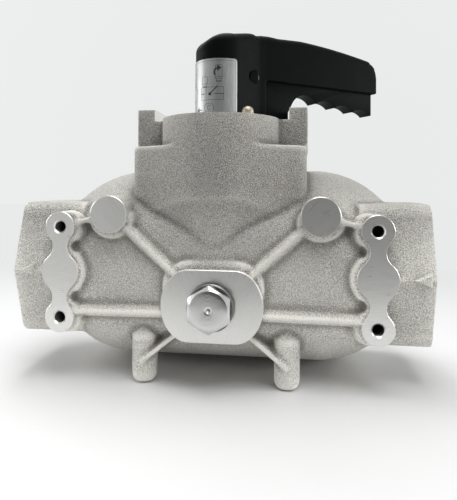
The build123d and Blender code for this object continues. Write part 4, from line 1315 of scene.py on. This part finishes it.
def bowl_sign(x, z, width, height):
    """Filter bowl in outline with its head drawn below."""
    half = width / 2
    neck, drop = half * 0.7, 2.4
    crown = [(x - half, z), (x - half, z + height - 0.8), (x - half + 0.8, z + height)]
    crown += [(-p + 2 * x, q) for p, q in reversed(crown)] + [(x - half, z)]
    made = stroke(crown, FINE_LINE)
    made += stroke([(x - neck, z), (x - neck, z - drop)], FINE_LINE)
    made += stroke([(x + neck, z), (x + neck, z - drop)], FINE_LINE)
    return made + stroke([(x - neck, z - drop), (x + neck, z - drop)], FINE_LINE * 2.2)


def brushed_film(name):
    """Silver film, brushed up and down before it was printed."""
    made, tree, shader = new_tree(name)
    lines = noise(place_on_piece(tree, (1.0, 1.0, 0.06)), 0.45, 2.0)
    cloud = noise(place_on_piece(tree), 9.0, 2.0)
    mark = lines * 0.6 + cloud * 0.4
    feed(shader, "Base Color", blend(mark, *FILM_TONES))
    feed(shader, "Roughness", mark * 0.15 + 0.34)
    feed(shader, "Metallic", 0.75)
    feed(shader, "Normal", bumped(lines, 0.01))
    return made


deselect()
bpy.ops.mesh.primitive_grid_add(x_subdivisions=PLATE_STEPS, y_subdivisions=1, size=1)
plate = bpy.context.object
for vertex in plate.data.vertices:
    x = LABEL_START + (LABEL_END - LABEL_START) * (vertex.co.x + 0.5)
    inside = max(0.0, min(x - LABEL_START, LABEL_END - x, LABEL_CORNER_R))
    drop = LABEL_CORNER_R - math.sqrt(LABEL_CORNER_R**2 - (LABEL_CORNER_R - inside) ** 2)
    z = LABEL_TOP_Z - drop if vertex.co.y > 0 else LABEL_LOW_Z + drop
    vertex.co = (x * MM, 0, z * MM)
finished_with(plate, "SOLIDIFY", thickness=LABEL_T * MM, offset=0)
settle(plate, "plate")
# Places on the flat film in millimetres: X the way round the hub, Z the height
ink = loop(
    LABEL_START + LABEL_BORDER,
    LABEL_LOW_Z + LABEL_BORDER,
    LABEL_END - LABEL_BORDER,
    LABEL_TOP_Z - LABEL_BORDER,
    0.22,
)
# A bowl that is turned
ink += bowl_sign(1.4, 158.4, 5.6, 11.0)
ink += stroke([(-1.4, 159.9), (4.2, 159.9)], FINE_LINE)
ink += stroke(arc((0.9, 163.6), 3.4, 215, 105, 8), 1.2)
ink += blot([(0.0, 164.2), (3.6, 167.2), (0.0, 169.6)])
# The lever's place on the pipe
ink += bowl_sign(-11.2, 154.4, 5.4, 6.0)
ink += loop(-14.7, 141.0, 5.45, 151.4, 0.28)
ink += loop(-14.7, 146.0, -9.7, 151.4, 0.25)
ink += stroke([(-14.7, 146.0), (-12.2, 146.0)], 0.7)
ink += stroke([(-6.2, 145.8), (0.0, 151.8)], 0.9)
ink += stroke([(-2.4, 145.8), (5.45, 145.8)], 0.5)
ink += blot(arc((-6.2, 145.8), 1.3, 0, 342, 19))
# A hand's turn, with an arrow
ink += stroke(arc((-8.2, 134.6), 3.4, 60, 250, 10), FINE_LINE)
ink += stroke(arc((-6.6, 134.6), 2.0, 40, 280, 10), FINE_LINE)
ink += stroke(arc((-8.0, 134.0), 5.2, -20, 60, 6), FINE_LINE)
ink += blot([(-20.6, 133.0), (-17.6, 130.6), (-17.6, 135.4)])
ink += stroke([(-17.6, 133.0), (-14.6, 133.0)], 0.8)
# The bowls of the two sides
ink += bowl_sign(-25.5, 156.0, 5.4, 8.0)
ink += loop(-30.6, 141.0, -20.8, 151.4, 0.28)
ink += bowl_sign(-42.0, 158.4, 5.6, 11.0)
ink += loop(-50.0, 141.0, -36.0, 151.4, 0.28)
ink += stroke([(-46.0, 145.8), (-40.0, 151.0)], 0.9)
ink = joined(ink, "ink")
settle(ink, "ink")
round_hub(plate)
round_hub(ink)
coat_with(plate, brushed_film("silver_film"))
coat_with(ink, mottled("black_ink", 0.6, 1.0, INK_TONES, 0.5, 0.0))
label = joined([plate, ink], "printed_label")
fitted(label, "label_plate", None, "lever", 30)


# Floor, backdrop and lights
# The photograph was taken in a white light tent, open towards the camera. So the room is
# white behind and beside the head, and dark in the opening before it.
TENT_TONES = (
    (0.0, (0.81, 0.83, 0.82)),
    (0.5, (0.98, 0.99, 0.99)),
    (0.78, (0.55, 0.55, 0.55)),
    (0.90, (0.08, 0.08, 0.08)),
    (0.985, (0.06, 0.06, 0.06)),
    (1.0, (0.01, 0.01, 0.01)),
)
TENT_FILL = 0.06
LENS_SQUEEZE = 2.8
LENS_X = 0.03
# Ranges of a ray's direction over which the dark opening and the lit table set in
AHEAD_Y = (-0.1, -0.6)
BELOW_Z = (-0.12, -0.6)
TABLE_TONE = (1.0, 1.0, 0.98)
TABLE_WHITE = (0.75, 0.75, 0.75, 1)
TABLE_FRONT_Y = -0.3
TABLE_W = 6.0
TABLE_D = 4.0
FLOOR_NEAR = 0.22
FLOOR_FAR = 0.75

world = bpy.data.worlds.new("light_tent")
bpy.context.scene.world = world
world.use_nodes = True
tree = world.node_tree
ray = node(tree, "ShaderNodeTexCoord", {}, [], "Generated")
ray_x, ray_y, ray_z = axes(ray)
# The dark opening looks narrow from the head, and lies a little to the right
ahead = stretched(ray_y, *AHEAD_Y)
off_lens = (ray_x - LENS_X) * (ahead * (LENS_SQUEEZE - 1) + 1)
squeezed = node(tree, "ShaderNodeCombineXYZ", {}, [off_lens, ray_y, ray_z])
squeezed = node(tree, "ShaderNodeVectorMath", {"operation": "NORMALIZE"}, [squeezed])
to_front = axes(squeezed)[1] * -0.5 + 0.5
tone = node(tree, "ShaderNodeValToRGB", {"stops": TENT_TONES}, [to_front])
# Below the horizon in front lies the lit table
tone = blend(stretched(ray_z, *BELOW_Z), tone, TABLE_TONE)
kinds = ("Is Camera Ray", "Is Glossy Ray", "Is Transmission Ray")
seen, glossy, through = (node(tree, "ShaderNodeLightPath", {}, [], kind) for kind in kinds)
share = stretched(seen + glossy + through, 0.0, 1.0) * (1 - TENT_FILL) + TENT_FILL
background = tree.nodes["Background"]
feed(background, "Color", tone)
feed(background, "Strength", share)

middle = (0, TABLE_FRONT_Y + TABLE_D / 2, FOOT_LOW_Z * MM)
deselect()
bpy.ops.mesh.primitive_plane_add(size=1, location=middle)
floor = bpy.context.object
floor.name = "floor"
floor.scale = (TABLE_W, TABLE_D, 1)
bpy.ops.object.transform_apply(location=True, scale=True)
made, tree, shader = new_tree("white_table")
length = {"operation": "LENGTH"}
distance = node(tree, "ShaderNodeVectorMath", length, [place_on_piece(tree)], "Value")
feed(shader, "Base Color", TABLE_WHITE)
feed(shader, "Roughness", 0.5)
glow = node(tree, "ShaderNodeEmission", {}, {"Color": (*TENT_TONES[0][1], 1), "Strength": 1.0})
table = Wire(tree, shader.outputs[0])
far = stretched(distance, FLOOR_NEAR, FLOOR_FAR)
mixed = node(tree, "ShaderNodeMixShader", {}, [far, table, glow])
tree.links.new(mixed.socket, tree.nodes["Material Output"].inputs["Surface"])
coat_with(floor, made)


def soft_lamp(name, place, aim, width, depth, energy):
    """Lit panel of the tent, at a place in metres, turned to shine at a point."""
    bpy.ops.object.light_add(type="AREA", location=place)
    lamp = bpy.context.object
    lamp.name = name
    lamp.rotation_euler = (Vector(aim) - Vector(place)).to_track_quat("-Z", "Y").to_euler()
    lamp.data.shape = "RECTANGLE"
    lamp.data.size = width
    lamp.data.size_y = depth
    lamp.data.energy = energy
    lamp.visible_camera = False


soft_lamp("tent_roof", (-0.02, 0.04, 0.85), (0, 0.05, 0), 1.5, 0.5, 13.5)
soft_lamp("tent_left", (-0.85, 0.12, 0.2), (0, 0.05, 0), 0.5, 0.4, 3.4)
soft_lamp("tent_right", (0.85, 0.12, 0.2), (0, 0.05, 0), 0.5, 0.4, 3.4)
for side, energy in ((-1, 0.19), (1, 0.15)):
    soft_lamp("near_table", (side * 0.24, -0.2, -0.08), (side * 0.09, 0, 0), 0.3, 0.08, energy)
    bpy.context.object.visible_glossy = False
